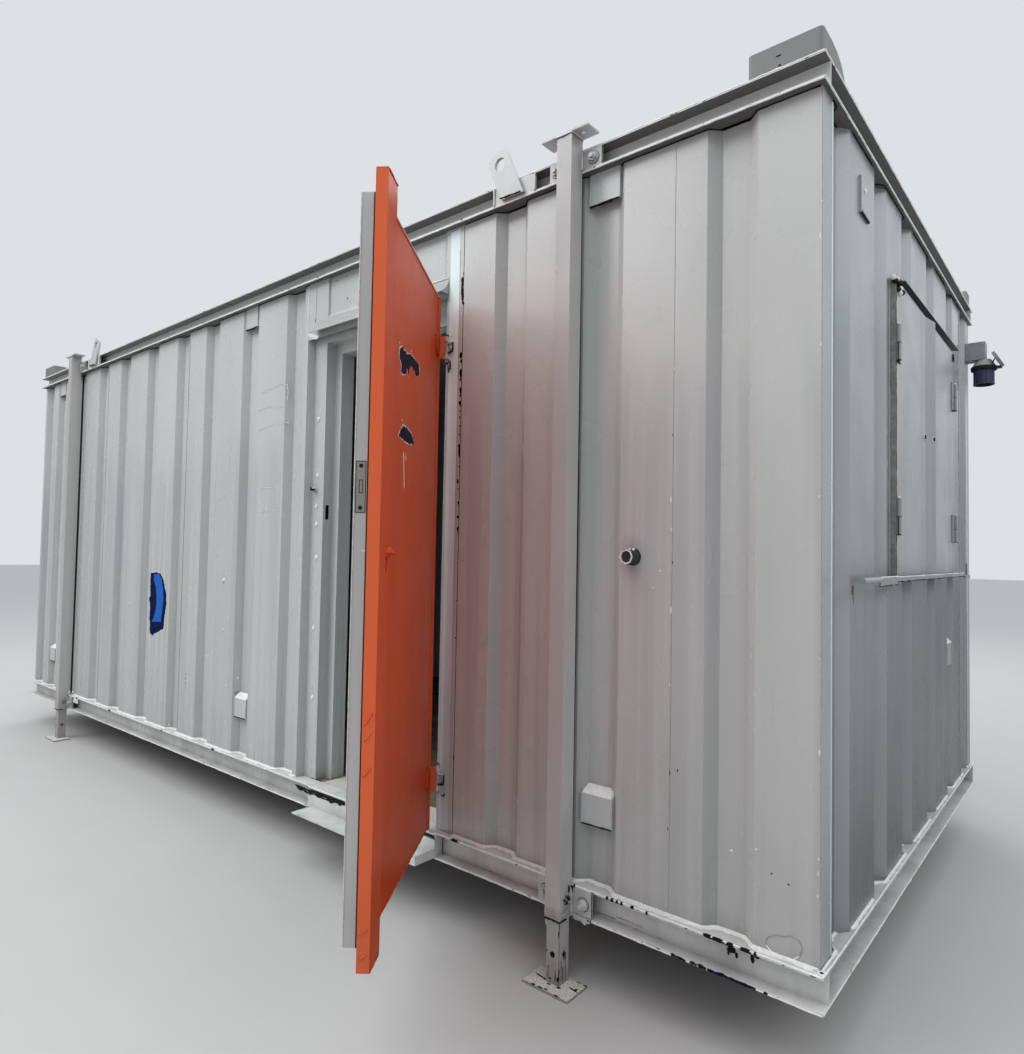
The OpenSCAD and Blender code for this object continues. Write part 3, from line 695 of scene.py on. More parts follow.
def noiseShift(tree, scale, amount, seed):
    # a wandering vector around zero, for pushing points about
    where = geometryNode(tree, "InputPosition")
    moved = vectorMaths(tree, "ADD", {0: where, 1: seed})
    noise = noiseOut(tree, moved, scale, 2.0, output="Color")
    centred = vectorMaths(tree, "SUBTRACT", {0: noise, 1: (0.5, 0.5, 0.5)})
    return vectorMaths(tree, "SCALE", {0: centred, "Scale": amount})


def finishTree(tree, geometry, gin, gout):
    real = geometryNode(tree, "RealizeInstances", {"Geometry": geometry})
    painted = geometryNode(tree, "SetMaterial", {"Geometry": real, "Material": gin["Material"]})
    tree.links.new(painted, gout["Geometry"])


def makeBeadTree():
    # a lumpy bead along the seed's edges: welds, paint ridges and sealant
    tree, gin, gout = newTree("beadAlongEdges", {"Radius": 0.004, "Spacing": 0.01, "Wobble": 0.002,
        "Uneven": 0.6, "Fineness": 40.0, "Seed": 1.0})
    line = geometryNode(tree, "MeshToCurve", {"Mesh": gin["Geometry"]})
    line = geometryNode(tree, "ResampleCurve", {"Curve": line, "Length": gin["Spacing"]}, mode="LENGTH")
    shift = noiseShift(tree, 24.0, gin["Wobble"], gin["Seed"])
    line = geometryNode(tree, "SetPosition", {"Geometry": line, "Offset": shift})
    where = geometryNode(tree, "InputPosition")
    swell = noiseOut(tree, where, gin["Fineness"], 2.0)
    swell = plus(tree, 1.0, times(tree, minus(tree, swell, 0.5), times(tree, gin["Uneven"], 2.0)))
    circle = geometryNode(tree, "CurvePrimitiveCircle", {"Resolution": 7, "Radius": gin["Radius"]})
    tube = geometryNode(tree, "CurveToMesh", {"Fill Caps": True, "Curve": line,
        "Profile Curve": circle, "Scale": swell})
    finishTree(tree, tube, gin, gout)
    return tree


def facingRotation(tree, spin=None):
    facing = facingOf(tree)
    turn = addNode(tree, "FunctionNodeAlignRotationToVector", {"Vector": facing}, axis="Z").outputs[0]
    if spin is not None:
        spun = addNode(tree, "FunctionNodeAxisAngleToRotation",
            {"Axis": (0, 0, 1), "Angle": spin}).outputs[0]
        turn = addNode(tree, "FunctionNodeRotateRotation", {"Rotation": turn, "Rotate By": spun},
            rotation_space="LOCAL").outputs[0]
    return turn


def makeFlakeTree():
    # flat uneven flakes on the seed's points, long way along the local Y
    tree, gin, gout = newTree("paintFlakes", {"Size": 0.01, "Stretch": 1.0, "Spread": 0.9,
        "Raggedness": 0.008, "Spin": 6.28, "Seed": 1})
    disc = geometryNode(tree, "MeshCircle", {"Vertices": 18, "Radius": 1.0}, fill_type="NGON")
    disc = geometryNode(tree, "ExtrudeMesh", {"Offset Scale": 0.03, "Individual": False, "Mesh": disc})
    size = addNode(tree, "FunctionNodeRandomValue", {"Seed": gin["Seed"]}, data_type="FLOAT")
    tree.links.new(minus(tree, 1.0, gin["Spread"]), size.inputs[2])
    size.inputs[3].default_value = 1.0
    each = times(tree, size.outputs[1], gin["Size"])
    longWay = times(tree, each, gin["Stretch"])
    shape = addNode(tree, "ShaderNodeCombineXYZ", {"Z": 0.012, "X": each, "Y": longWay}).outputs[0]
    spin = addNode(tree, "FunctionNodeRandomValue", {"Seed": gin["Seed"]}, data_type="FLOAT")
    tree.links.new(gin["Spin"], spin.inputs[3])
    rotation = facingRotation(tree, spin.outputs[1])
    spread = geometryNode(tree, "InstanceOnPoints", {"Points": gin["Geometry"], "Instance": disc,
        "Rotation": rotation, "Scale": shape})
    real = geometryNode(tree, "RealizeInstances", {"Geometry": spread})
    shift = noiseShift(tree, 130.0, gin["Raggedness"], times(tree, gin["Size"], 10.0))
    facing = facingOf(tree)
    along = dotted(tree, shift, facing)
    lift = vectorMaths(tree, "SCALE", {0: facing, "Scale": along})
    flat = vectorMaths(tree, "SUBTRACT", {0: shift, 1: lift})
    moved = geometryNode(tree, "SetPosition", {"Geometry": real, "Offset": flat})
    finishTree(tree, moved, gin, gout)
    return tree


def makeBoltTree():
    # hexagon head on a washer, with the end of its shank
    tree, gin, gout = newTree("boltsOnPoints", {"Sides": 6, "Head": 0.0135, "Height": 0.01,
        "Washer": 0.0165, "Stub": 0.006, "Seed": 1})
    parts = []
    for sides, radius, low, high in ((24, gin["Washer"], 0.0, 0.0025),
            (None, gin["Head"], 0.0025, gin["Height"]), (20, times(tree, gin["Head"], 0.52),
            gin["Height"], gin["Stub"])):
        if low == 0.0:
            depth, centre = 0.0035, 0.0008
        elif isinstance(low, float):
            depth, centre = high, times(tree, high, 0.5)
        else:
            depth, centre = times(tree, high, 2.0), low
        cylinder = addNode(tree, "GeometryNodeMeshCylinder", {"Vertices": sides or 6, "Radius": radius,
            "Depth": depth})
        if sides is None:
            tree.links.new(gin["Sides"], cylinder.inputs["Vertices"])
        offset = addNode(tree, "ShaderNodeCombineXYZ", {"Z": centre})
        parts.append(geometryNode(tree, "Transform", {"Geometry": cylinder.outputs[0],
            "Translation": offset.outputs[0]}))
    joined = addNode(tree, "GeometryNodeJoinGeometry")
    for part in parts:
        tree.links.new(part, joined.inputs[0])
    spin = addNode(tree, "FunctionNodeRandomValue", {"Seed": gin["Seed"]}, data_type="FLOAT")
    spin.inputs[3].default_value = 6.28
    placed = geometryNode(tree, "InstanceOnPoints", {"Points": gin["Geometry"],
        "Instance": joined.outputs[0], "Rotation": facingRotation(tree, spin.outputs[1])})
    finishTree(tree, placed, gin, gout)
    return tree


beadTree, flakeTree, boltTree = makeBeadTree(), makeFlakeTree(), makeBoltTree()


def grow(name, seedMesh, tree, finish, body="cabin", smooth=False, **settings):
    # runs the tree on a throw-away carrier and keeps the plain mesh that comes out
    carrier = bpy.data.objects.new(name + "Seed", seedMesh)
    scene.collection.objects.link(carrier)
    modifier = carrier.modifiers.new("grow", "NODES")
    modifier.node_group = tree
    settings["Material"] = materials[finish]
    for item in tree.interface.items_tree:
        if item.item_type == "SOCKET" and item.in_out == "INPUT" and item.name in settings:
            modifier[item.identifier] = settings[item.name]
    ready = carrier.evaluated_get(bpy.context.evaluated_depsgraph_get())
    mesh = bpy.data.meshes.new_from_object(ready)
    bpy.data.objects.remove(carrier)
    mesh.name = name
    while mesh.attributes.get("facing"):
        mesh.attributes.remove(mesh.attributes["facing"])
    return dress(name, mesh, finish, body, smooth)


def lines(name, paths):
    # seed mesh of loose edges from point lists in the cabin's millimetres
    verts, edges = [], []
    for path in paths:
        start = len(verts)
        verts += [tuple(spot(*p)) for p in path]
        edges += [(start + i, start + i + 1) for i in range(len(path) - 1)]
    mesh = bpy.data.meshes.new(name)
    mesh.from_pydata(verts, edges, [])
    return mesh


def bead(name, paths, finish, radius, spacing, wobble, uneven, seed, fineness=40, body="cabin"):
    # one smooth bead along each path; radius, spacing and wobble in millimetres
    sizes = dict(Radius=radius / 1000, Spacing=spacing / 1000, Wobble=wobble / 1000)
    return grow(name, lines(name + "Line", paths), beadTree, finish, body, True, Uneven=float(uneven),
        Seed=float(seed), Fineness=float(fineness), **sizes)


def points(name, items):
    # seed mesh of points with the way each one faces
    mesh = bpy.data.meshes.new(name)
    mesh.from_pydata([tuple(spot(*p)) for p, facing in items], [], [])
    data = mesh.attributes.new("facing", "FLOAT_VECTOR", "POINT").data
    for i, (p, facing) in enumerate(items):
        data[i].vector = facing
    return mesh


def bolts(name, items, finish, sides, head, height, washer, stub, seed, body="cabin"):
    # items are (place, way it faces); head, height, washer and stub in millimetres
    return grow(name, points(name + "Points", items), boltTree, finish, body, Sides=sides,
        Head=head / 1000, Height=height / 1000, Washer=washer / 1000, Stub=stub / 1000, Seed=seed)


def ring(centre, across, other, radius, count=24, start=0.0, sweep=360.0):
    turns = [math.radians(start + sweep * k / count) for k in range(count + 1)]
    return [tuple(Vector(centre) + Vector(across) * radius * math.cos(a)
        + Vector(other) * radius * math.sin(a)) for a in turns]


# wall foot, wall top and seams
walls = dict(face=1190, bottom=1160, endFace=3033, endBottom=3003, foot=93, top=2394,
    backSheets=(-2380, wallFace, 0, 1190, 2380),
    leftRibs=[-3003, -2745, -2345, -1930, -1560, -1140, -730, -375, 35, 455],
    rightRibs=[1850, 2255, 2700], endRibs=[-1075, -710, -275, 155, 525, 945], footBead=3.6,
    topLineBead=2.1, ridge=2.4, paintReach=(9, 21))


def ribLine(u0, u1, starts, face, bottom):
    # the wall's edge in plan as (along, across) pairs, ribs included
    path = [(u0, face)]
    for start in starts:
        path += [(start + 4, face), (start + 34, bottom), (start + 121, bottom), (start + 151, face)]
    return path + [(u1, face)]


def paintSheet(shapes, path, place, low, high, seed):
    # thick paint lying on the flange along the wall line, its outer edge uneven; its white is partly
    # painted light on the flange top, which faces the sky
    rand = random.Random(seed)
    near, far = [], []
    for (u0, v0), (u1, v1) in zip(path, path[1:]):
        parts = max(1, round(math.hypot(u1 - u0, v1 - v0) / 13))
        for k in range(parts):
            u, v = u0 + (u1 - u0) * k / parts, v0 + (v1 - v0) * k / parts
            near.append(place(u, v - 2))
            far.append(place(u, v + rand.uniform(low, high)))
    shapes.ribbon(near, far, upward, 1.3)


def buildWallFeet():
    w = walls
    face, foot, top = w["face"], w["foot"], w["top"]
    backRibs = [-2975 + 1190 * s + r - 77.5 for s in range(5) for r in (180, 595, 1010)]
    front = [ribLine(-3030, 640, w["leftRibs"], face, w["bottom"]),
        ribLine(1690, 3028, w["rightRibs"], face, w["bottom"])]
    back = ribLine(-3030, 3030, backRibs, face, w["bottom"])
    end = ribLine(-1108, 1108, w["endRibs"], w["endFace"], w["endBottom"])
    corners = [[(s * x, t * (1112 + 76 * k), foot + 2) for k in (0, 1)]
        for s, x in ((1, 3037), (-1, 3037)) for t in (1, -1)]
    # a pale sealant bead along each wall foot, and a dark line along each wall top under the rail
    for name, z, radius, finish, wobble in (("wall_foot_sealant", foot + 2, w["footBead"], "sealant",
            2), ("wall_top_dark_line", top - 1, w["topLineBead"], "chippedBlack", 1.5)):
        paths = [[(u, -v - 1, z) for u, v in path] for path in front]
        paths.append([(u, v + 1, z) for u, v in back])
        paths += [[(s * (v + 1), s * u, z) for u, v in end] for s in (1, -1)]
        if finish == "sealant":
            paths += corners
        bead(name, paths, finish, radius, 11, wobble, 0.5, 2, 26)
    sheets = Shapes()
    low, high = w["paintReach"]
    for i, path in enumerate(front):
        paintSheet(sheets, path, lambda u, v: (u, -v, foot), low, high, 60 + i)
    paintSheet(sheets, back, lambda u, v: (u, v, foot), low, high, 62)
    for s in (1, -1):
        paintSheet(sheets, end, lambda u, v: (s * v, s * u, foot), 4, 12, 64 + s)
    sheets.piece("flange_thick_paint_and_light", "sealant")
    lips = []
    for z in (foot, 0, top + 73, top):
        for x0, x1 in ((-3046, 788), (1624, 3046)) if z < 200 else ((-3046, 3046),):
            lips.append([(x0, -1218, z), (x1, -1218, z)])
        lips.append([(-3046, 1218, z), (3046, 1218, z)])
        lips += [[(s * 3047, -1216, z), (s * 3047, 1216, z)] for s in (1, -1)]
    bead("flange_paint_ridges", lips, "sealant", w["ridge"], 12, 3, 1, 5, 60)
    seams = [[(x, -face - 0.5, 100), (x, -face - 0.5, 2385)] for x in (-1763, -573)]
    seams += [[(x, face + 0.5, 100), (x, face + 0.5, 2385)] for x in w["backSheets"]]
    seams += [[(s * (w["endFace"] + 0.5), y, 100), (s * (w["endFace"] + 0.5), y, 2385)]
        for s, y in ((1, 895), (-1, 560), (-1, -895))]
    bead("sheet_seam_beads", seams, "wallPaint", 2.6, 9, 2, 0.9, 8, 50)
    Shapes().band(onFront(-face), (3031.2, 100), (3033, 2388), outFront, 0.4).piece("corner_edge_line",
        "jointGrey")
    # painted highlight: pale beads along the post arrises stand for the glint of the rounded corners
    edge = [[(s * 3033, t * 1113, 102), (s * 3033, t * 1113, 2386)] for s, t in fourCorners]
    bead("post_edge_highlight_beads", edge, "stripPaintAndLight", 2.6, 20, 0.6, 0.3, 9, 20)
    for name, x, half, z0, z1, finish in (("right_sheet_joint", 2596, 0.9, 110, 2380, "jointGrey"),
            ("hinge_side_joint", 1686, 1.4, 96, 2390, "chippedBlack"),
            ("strip_edge_line", 1665, 0.8, 96, 2300, "jointGrey")):
        Shapes().band(onFront(-face), (x - half, z0), (x + half, z1), outFront, 0.4).piece(name, finish)


buildWallFeet()
print("wall feet and seams done")

# broken paint
damage = dict(seed=11, flangeChips=130,
    seamBlots=[(2176, 5, 21), (2148, 3, 12), (2122, 6, 24), (2095, 3, 9), (1890, 5, 14), (1866, 3, 6),
        (1823, 5, 17), (1796, 3, 7), (1759, 4, 13), (1736, 3, 6), (1709, 4, 10), (1676, 2.4, 6),
        (1652, 2.4, 7), (1620, 2.4, 5), (1588, 2.4, 7), (1545, 4, 9), (1509, 4, 9), (1466, 2.4, 5),
        (1409, 4, 11), (1380, 2.4, 5), (1328, 4, 8), (1274, 4, 8), (1229, 4, 10), (1100, 2, 4),
        (960, 2, 4), (820, 2.4, 5), (700, 2, 3), (560, 2, 4), (420, 2, 3)],
    bigBlots=[(1678, 2146, 6, 26), (1683, 1894, 5, 11), (1682, 1821, 8, 18), (1681, 1756, 7, 12),
        (1683, 1704, 5, 13), (1682, 1525, 7, 27), (1684, 375, 4, 9)],
    smallBlots=[(2596, 504, 2.4, 9), (2621, 515, 3, 4), (2591, 340, 2, 6), (2598, 1120, 2, 5),
        (2594, 1500, 2, 4)],
    paleSpots=[(2590, 1306, 3, 10), (2593, 1217, 3, 9), (2594, 979, 3, 12), (2597, 1700, 2, 6),
        (2592, 760, 2, 7)],
    cornerSpots=[2080, 1990, 1700, 1300, 880, 640, 371, 335, 277],
    webBlots=[(2756, 68, 34, 9), (2785, 54, 16, 10), (2800, 44, 5, 9), (2776, 42, 4, 6),
        (2838, 66, 16, 7), (2846, 52, 7, 14), (2858, 60, 9, 6), (2815, 68, 10, 5), (2420, 70, 26, 5),
        (2450, 72, 8, 4), (2515, 72, 7, 5), (2536, 72, 4, 4)],
    webScratches=[(2331, 2403, 12), (2404, 2470, 20), (2476, 2500, 19)],
    lipBlots=[(2275, 91, 5, 3), (2400, 90, 6, 3), (2418, 90, 7, 3.5), (2436, 90, 6, 3),
        (2452, 90, 5, 3), (2490, 91, 7, 3), (2540, 90, 5, 3), (2735, 90, 18, 3), (2765, 90, 20, 4),
        (2800, 90, 14, 3), (2845, 90, 18, 3.5), (2872, 91, 5, 3), (2330, 2, 5, 3), (2628, 3, 9, 5),
        (2650, 2, 14, 3.5), (2690, 3, 10, 4), (2715, 3, 12, 5), (2745, 2, 14, 4), (2775, 3, 16, 5),
        (2805, 2, 13, 4), (2838, 2, 16, 4.5), (2862, 2, 9, 3), (2900, 2, 5, 3), (1730, 90, 24, 3),
        (-90, 90, 20, 3), (-1465, 90, 22, 3), (-700, 90, 9, 3), (-2040, 90, 12, 3)],
    blueBlots=[(2768, 3, 7, 3), (2790, 2, 9, 2.5), (2820, 2, 8, 3), (2848, 3, 6, 2)])


def buildChips():
    d = damage
    rand = random.Random(d["seed"])
    dark, pale = Shapes(), Shapes()
    wall = onFront(wallFace)
    for i, (z, half, tall) in enumerate(d["seamBlots"]):
        addChip(pale, dark, wall, outFront, 1681 + rand.gauss(0, 1.5), z, half * 1.6, tall, 100 + i,
            2.2)
        beside = z + rand.choice((-1, 1)) * tall * 1.4
        addChip(pale, dark, wall, outFront, 1684 + rand.gauss(0, 3), beside, half * 0.8, tall * 0.3,
            200 + i, 1.0)
    for i, (x, z, half, tall) in enumerate(d["smallBlots"]):
        addChip(pale, dark, wall, outFront, x, z, half, tall, 300 + i, 1.0)
    pale.blots(wall, d["paleSpots"], 400, outFront, 0.9)
    for i, z in enumerate(d["cornerSpots"]):
        pale.patch(wall, blot(3028 + rand.uniform(-3, 3), z, 2.2, rand.uniform(3, 11), 500 + i),
            outFront, 0.5)
    for i, (x, z, half, tall) in enumerate(d["bigBlots"]):
        addChip(pale, dark, wall, outFront, x, z, half, tall, 540 + i, 1.5)
    dark.piece("seam_chips", "chippedBlack")
    pale.piece("seam_chip_rims", "chippedRim")
    lip = []
    for _ in range(d["flangeChips"]):
        z = rand.choice((90.5, 3.0, 2397.5, 2464))
        if rand.random() < 0.55:
            x = rand.choice((rand.uniform(-3040, 780), rand.uniform(1630, 3040),
                rand.uniform(2300, 3040)))
            lip.append(((x if z < 200 else rand.uniform(-3040, 3040), -1219.1, z), outFront))
        elif rand.random() < 0.6:
            lip.append(((3048.1, rand.uniform(-1210, 1210), z), outEnd))
        else:
            lip.append(((rand.uniform(-3040, 3040), 1219.1, z), (0, 1, 0)))
    grow("flange_chips", points("flangeChips", lip), flakeTree, "chippedBlack", Size=0.0075,
        Stretch=0.42, Spread=0.8, Raggedness=0.004, Spin=0.12, Seed=5)
    patches, blue = Shapes(), Shapes()
    web, lipFace = onFront(webFace), onFront(-1219.2)
    patches.blots(web, d["webBlots"], 40, outFront, 0.6, 22)
    for x0, x1, z in d["webScratches"]:
        patches.prism([web(x0, z - 0.6), web(x1, z + 0.5), web(x1, z + 1.6), web(x0, z + 0.6)],
            outFront, 0.4)
    for i, (x, z, half, tall) in enumerate(d["lipBlots"]):
        patches.patch(lipFace, blot(x, z, half, tall, 70 + i, 18), outFront, 2.4)
        patches.prism([(u, railFace + w, 93.2) for u, w in blot(x, 0, half * 0.8, 4, 120 + i, 18)]
            if z > 50 else [lipFace(*p) for p in blot(x + half, z - 1, half * 0.4, tall * 0.7,
            150 + i)], upward if z > 50 else outFront, 2.6)
    blue.blots(lipFace, d["blueBlots"], 180, outFront, 3.2)
    patches.piece("rail_bare_patches", "chippedBlack")
    blue.piece("rail_old_blue", "deepBlue")


buildChips()
print("broken paint done")

# the old blue paint on the wall
bluePatch = dict(y=wallFace,
    outline=[(-992, 988), (-908, 996), (-852, 988), (-814, 951), (-770, 870), (-764, 824), (-773, 776),
        (-784, 717), (-791, 663), (-825, 655), (-865, 637), (-919, 624), (-946, 612), (-975, 625),
        (-987, 703), (-990, 800), (-1006, 829), (-988, 848), (-996, 945)],
    bright=[(-943, 981), (-880, 987), (-842, 962), (-816, 904), (-805, 833), (-816, 774), (-829, 704),
        (-952, 693), (-922, 731), (-899, 793), (-899, 852), (-915, 912), (-946, 947)])


def buildBluePatch():
    b = bluePatch
    for name, shape, finish, height, seed, jitter in (("blue_patch_rim", grown(b["outline"], 4),
            "chippedRim", 0.25, 1, 2.0), ("blue_patch_black", b["outline"], "chippedBlack", 0.45, 2,
            3.0), ("blue_patch_deep", grown(b["outline"], -7), "deepBlue", 0.65, 3, 2.0),
            ("blue_patch_bright", b["bright"], "oldBlue", 0.85, 4, 2.0)):
        Shapes().patch(onFront(b["y"]), ragged(shape, 9, jitter, seed), outFront, height).piece(name,
            finish)


buildBluePatch()

# small marks pressed in or painted over on the long wall
marks = dict(square=(257, 412, 1330, 1450),
    dents=[(211, 495, 1742, 1756), (205, 456, 1843, 1838), (230, 467, 1929, 1946)],
    loop=[(2889, 109), (2893, 130), (2913, 144), (2937, 147), (2958, 157), (2979, 151), (2987, 132),
        (2979, 111), (2960, 96), (2933, 94), (2905, 97), (2889, 109)],
    lumps=[(-89, 976, 11, 14), (-82, 713, 5, 6), (-100, 658, 4, 5), (-237, 560, 5, 5), (89, 481, 6, 5),
        (-1300, 782, 6, 5), (-676, 120, 7, 6), (-31, 430, 5, 4), (2556, 1094, 5, 4), (2532, 1042, 4, 4),
        (2790, 330, 6, 3), (2862, 352, 5, 3), (2120, 1500, 3, 4), (-2050, 900, 5, 5),
        (-1750, 1500, 4, 4)],
    specks=[(-92, 962, 4, 3), (-84, 707, 3, 2), (-486, 435, 3, 5), (-488, 410, 3, 5), (-486, 384, 3, 4),
        (-484, 360, 3, 3), (104, 411, 3, 4), (-1296, 776, 3, 2), (-672, 115, 3, 2), (2904, 300, 3, 2),
        (2950, 285, 3, 1.5)],
    blockSpecks=[(2921, 2485, 4, 3), (2918, 2513, 8, 1.5)])


def buildWallMarks():
    m = marks
    x0, x1, z0, z1 = m["square"]
    outlines = [[(x0, wallFace, z0), (x1, wallFace, z0 + 4), (x1 - 2, wallFace, z1),
        (x0 + 3, wallFace, z1 - 3), (x0, wallFace, z0)]]
    for a, b, c, e in m["dents"]:
        outlines.append([(a, wallFace, c), (a + (b - a) * 0.4, wallFace, c + 12),
            (a + (b - a) * 0.75, wallFace, e + 3), (b, wallFace, e)])
    outlines.append([(476, wallFace, 1872), (482, wallFace, 1910), (470, wallFace, 1949)])
    bead("overpainted_label_edges", outlines, "sealant", 1.7, 12, 2, 0.8, 3, 30)
    shaded = [[(u - 2.6, v + 0.2, z + 2.6) for u, v, z in path] for path in outlines]
    bead("overpainted_label_shades", shaded, "jointGrey", 1.2, 12, 2, 0.8, 3, 30)
    loop = [(x, wallFace, z) for x, z in m["loop"]]
    for name, path, finish in (("overpainted_ring_top", loop[:8], "jointGrey"),
            ("overpainted_ring_foot", loop[7:], "sealant")):
        bead(name, [path], finish, 1.7, 6, 2, 0.7, 4, 60)
    lumps = Shapes()
    for i, (x, z, half, tall) in enumerate(m["lumps"]):
        lumps.lump(onFront(wallFace), outFront, x, z, half, tall, half * 0.5, 560 + i)
    lumps.piece("painted_lumps", "sealant", smooth=True)
    specks = Shapes()
    specks.blots(onFront(wallFace), m["specks"], 600, outFront, 1.2)
    specks.blots(onFront(-1206), m["blockSpecks"], 640, outFront, 0.6)
    specks.piece("wall_dark_specks", "shadeDirt")


buildWallMarks()
print("wall marks done")

# bolts, welds and pins of the frame
frameWork = dict(legX=2234, legY=1249, boltGap=76, baseBoltZ=44, topBoltZ=2430, eyeX=1964)


# the leg nearest the camera, as worn in the photograph
nearLeg = dict(place=(2234, -1249), plateHalf=(89, 49),
    wrinkles=[(4, 1.5), (11, -2), (19, 2), (28, -1)],
    frontStreaks=[(-17, -190, -150), (12, -190, -158)],
    sideStreaks=[(-12, -188, -130), (-4, -192, -150), (10, -190, -110)],
    frontChips=[(-23, -106, 3, 4), (21, -182, 4, 9), (-8, -188, 5, 3), (23, -44, 1.6, 12)],
    sideChips=[(2, -118, 4.2, 17), (-23, -160, 2.4, 12), (-23, -180, 2, 7), (-23, -20, 2.2, 9),
        (-21, 0, 3, 6)],
    nutLights=[(-7, 60, 3), (3, 50, 3.6), (9, 52, 2.6)],
    plateScratches=[(2179, -1264, 25, 3, -0.1), (2199, -1268, 6, 4, 0), (2303, -1256, 22, 3, -0.2),
        (2310, -1251, 7, 5, 0.5), (2190, -1312, 9, 4, 0), (2216, -1311, 11, 3, 0.1),
        (2236, -1307, 7, 4, 0), (2281, -1313, 9, 3, 0), (2320, -1216, 8, 3, 0),
        (2296, -1216, 10, 2, 0.1), (2226, -1280, 9, 4, 0.2), (2262, -1276, 8, 5, 0)],
    bolts=[(76, 44)],
    flake=[(2268, 8), (2340, 8), (2341, -4), (2330, -8), (2322, -17), (2300, -9), (2280, -12),
        (2269, -4)])


def buildFrameWork():
    f = frameWork
    heads, welds, dark, shade = [], [], [], Shapes()
    for s, t in fourCorners:
        x, y = s * f["legX"], t * f["legY"]
        for side in (1, -1):
            for z in (f["baseBoltZ"], f["topBoltZ"]):
                heads.append(((x + side * f["boltGap"], t * 1219, z), (0, t, 0)))
        cap = [(x + a * 31, y + b * 31, 2503) for a, b in ((-1, -1), (1, -1), (1, 1), (-1, 1),
            (-1, -1))]
        welds.append(cap)
        welds += [[(x + a * 30, t * 1221, z0), (x + a * 30, t * 1221, z1)] for a in (1, -1)
            for z0, z1 in ((8, 86), (2401, 2460))]
        eye = s * f["eyeX"]
        # painted shadow: a dark line under each lifting eye's plate
        dark.append([(eye - 58, t * 1232, 2412), (eye - 20, t * 1233, 2409),
            (eye + 40, t * 1233, 2408)])
        dark.append([(x - 30, y + t * 31, -4), (x, y + t * 31.5, -3), (x + 30, y + t * 31, -5),
            (x + 31.5, y, -4)])
        # painted shadow: a dark line in the gap between the leg and the wall, low down
        dark.append([(x + 31, t * 1222, 92), (x + 34, t * 1221, 84), (x + 33, t * 1221, 72)])
        welds += [[(eye + a * 96, t * 1221, 2400), (eye + a * 96, t * 1221, 2461)] for a in (1, -1)]
        welds.append([(s * 2826, t * 1206, 2467), (s * 3039, t * 1206, 2467),
            (s * 3039, t * 1012, 2467)])
    bolts("frame_bolts", heads, "fittingPaint", 6, 15, 13.5, 19.5, 7.5, 2)
    rings = [ring(place, outEnd, upward, 20.6, 24) for place, _ in heads]
    rings += [[(x - 1.5, y, z0), (x - 1.5, y, z1)] for s, t in fourCorners
        for x in (s * f["legX"] + 108.5,) for y, z0, z1 in ((t * 1218.5, 8, 85),
        (t * 1218.5, 2402, 2459))]
    bead("bolt_and_bracket_shadows", rings, "shadeDirt", 1.1, 6, 1, 0.8, 1, 80)
    bead("frame_welds", welds, "railPaint", 4, 6, 2, 0.7, 6, 120)
    bead("blackened_welds_and_painted_shadows", dark, "chippedBlack", 2.4, 6, 6, 1.4, 9, 140)
    clips = [[(s * (f["legX"] - 42), t * 1249 + 2, 56), (s * (f["legX"] - 44), t * 1249 + 14, 50),
        (s * (f["legX"] - 44), t * 1249 + 16, 34), (s * (f["legX"] - 42), t * 1249 + 2, 27),
        (s * (f["legX"] - 41), t * 1249 - 12, 36), (s * (f["legX"] - 42), t * 1249 - 6, 52)]
        for s, t in fourCorners]
    bead("leg_pin_clips", clips, "bareSteel", 1.8, 4, 0, 0, 1)
    # painted shadow: a dark strip on the wall behind each leg, where shade falls in the gap
    for s in (1, -1):
        x = s * f["legX"]
        wide = 6 if s < 0 else 0
        shade.prism([(x - 28, wallFace, 97), (x + 9 - wide, wallFace, 97),
            (x + 13 - wide, wallFace, 1200), (x + 11 - wide, wallFace, 2388), (x - 28, wallFace, 2388)],
            outFront, 0.3)
    shade.piece("leg_painted_shadow", "shadeDirt")


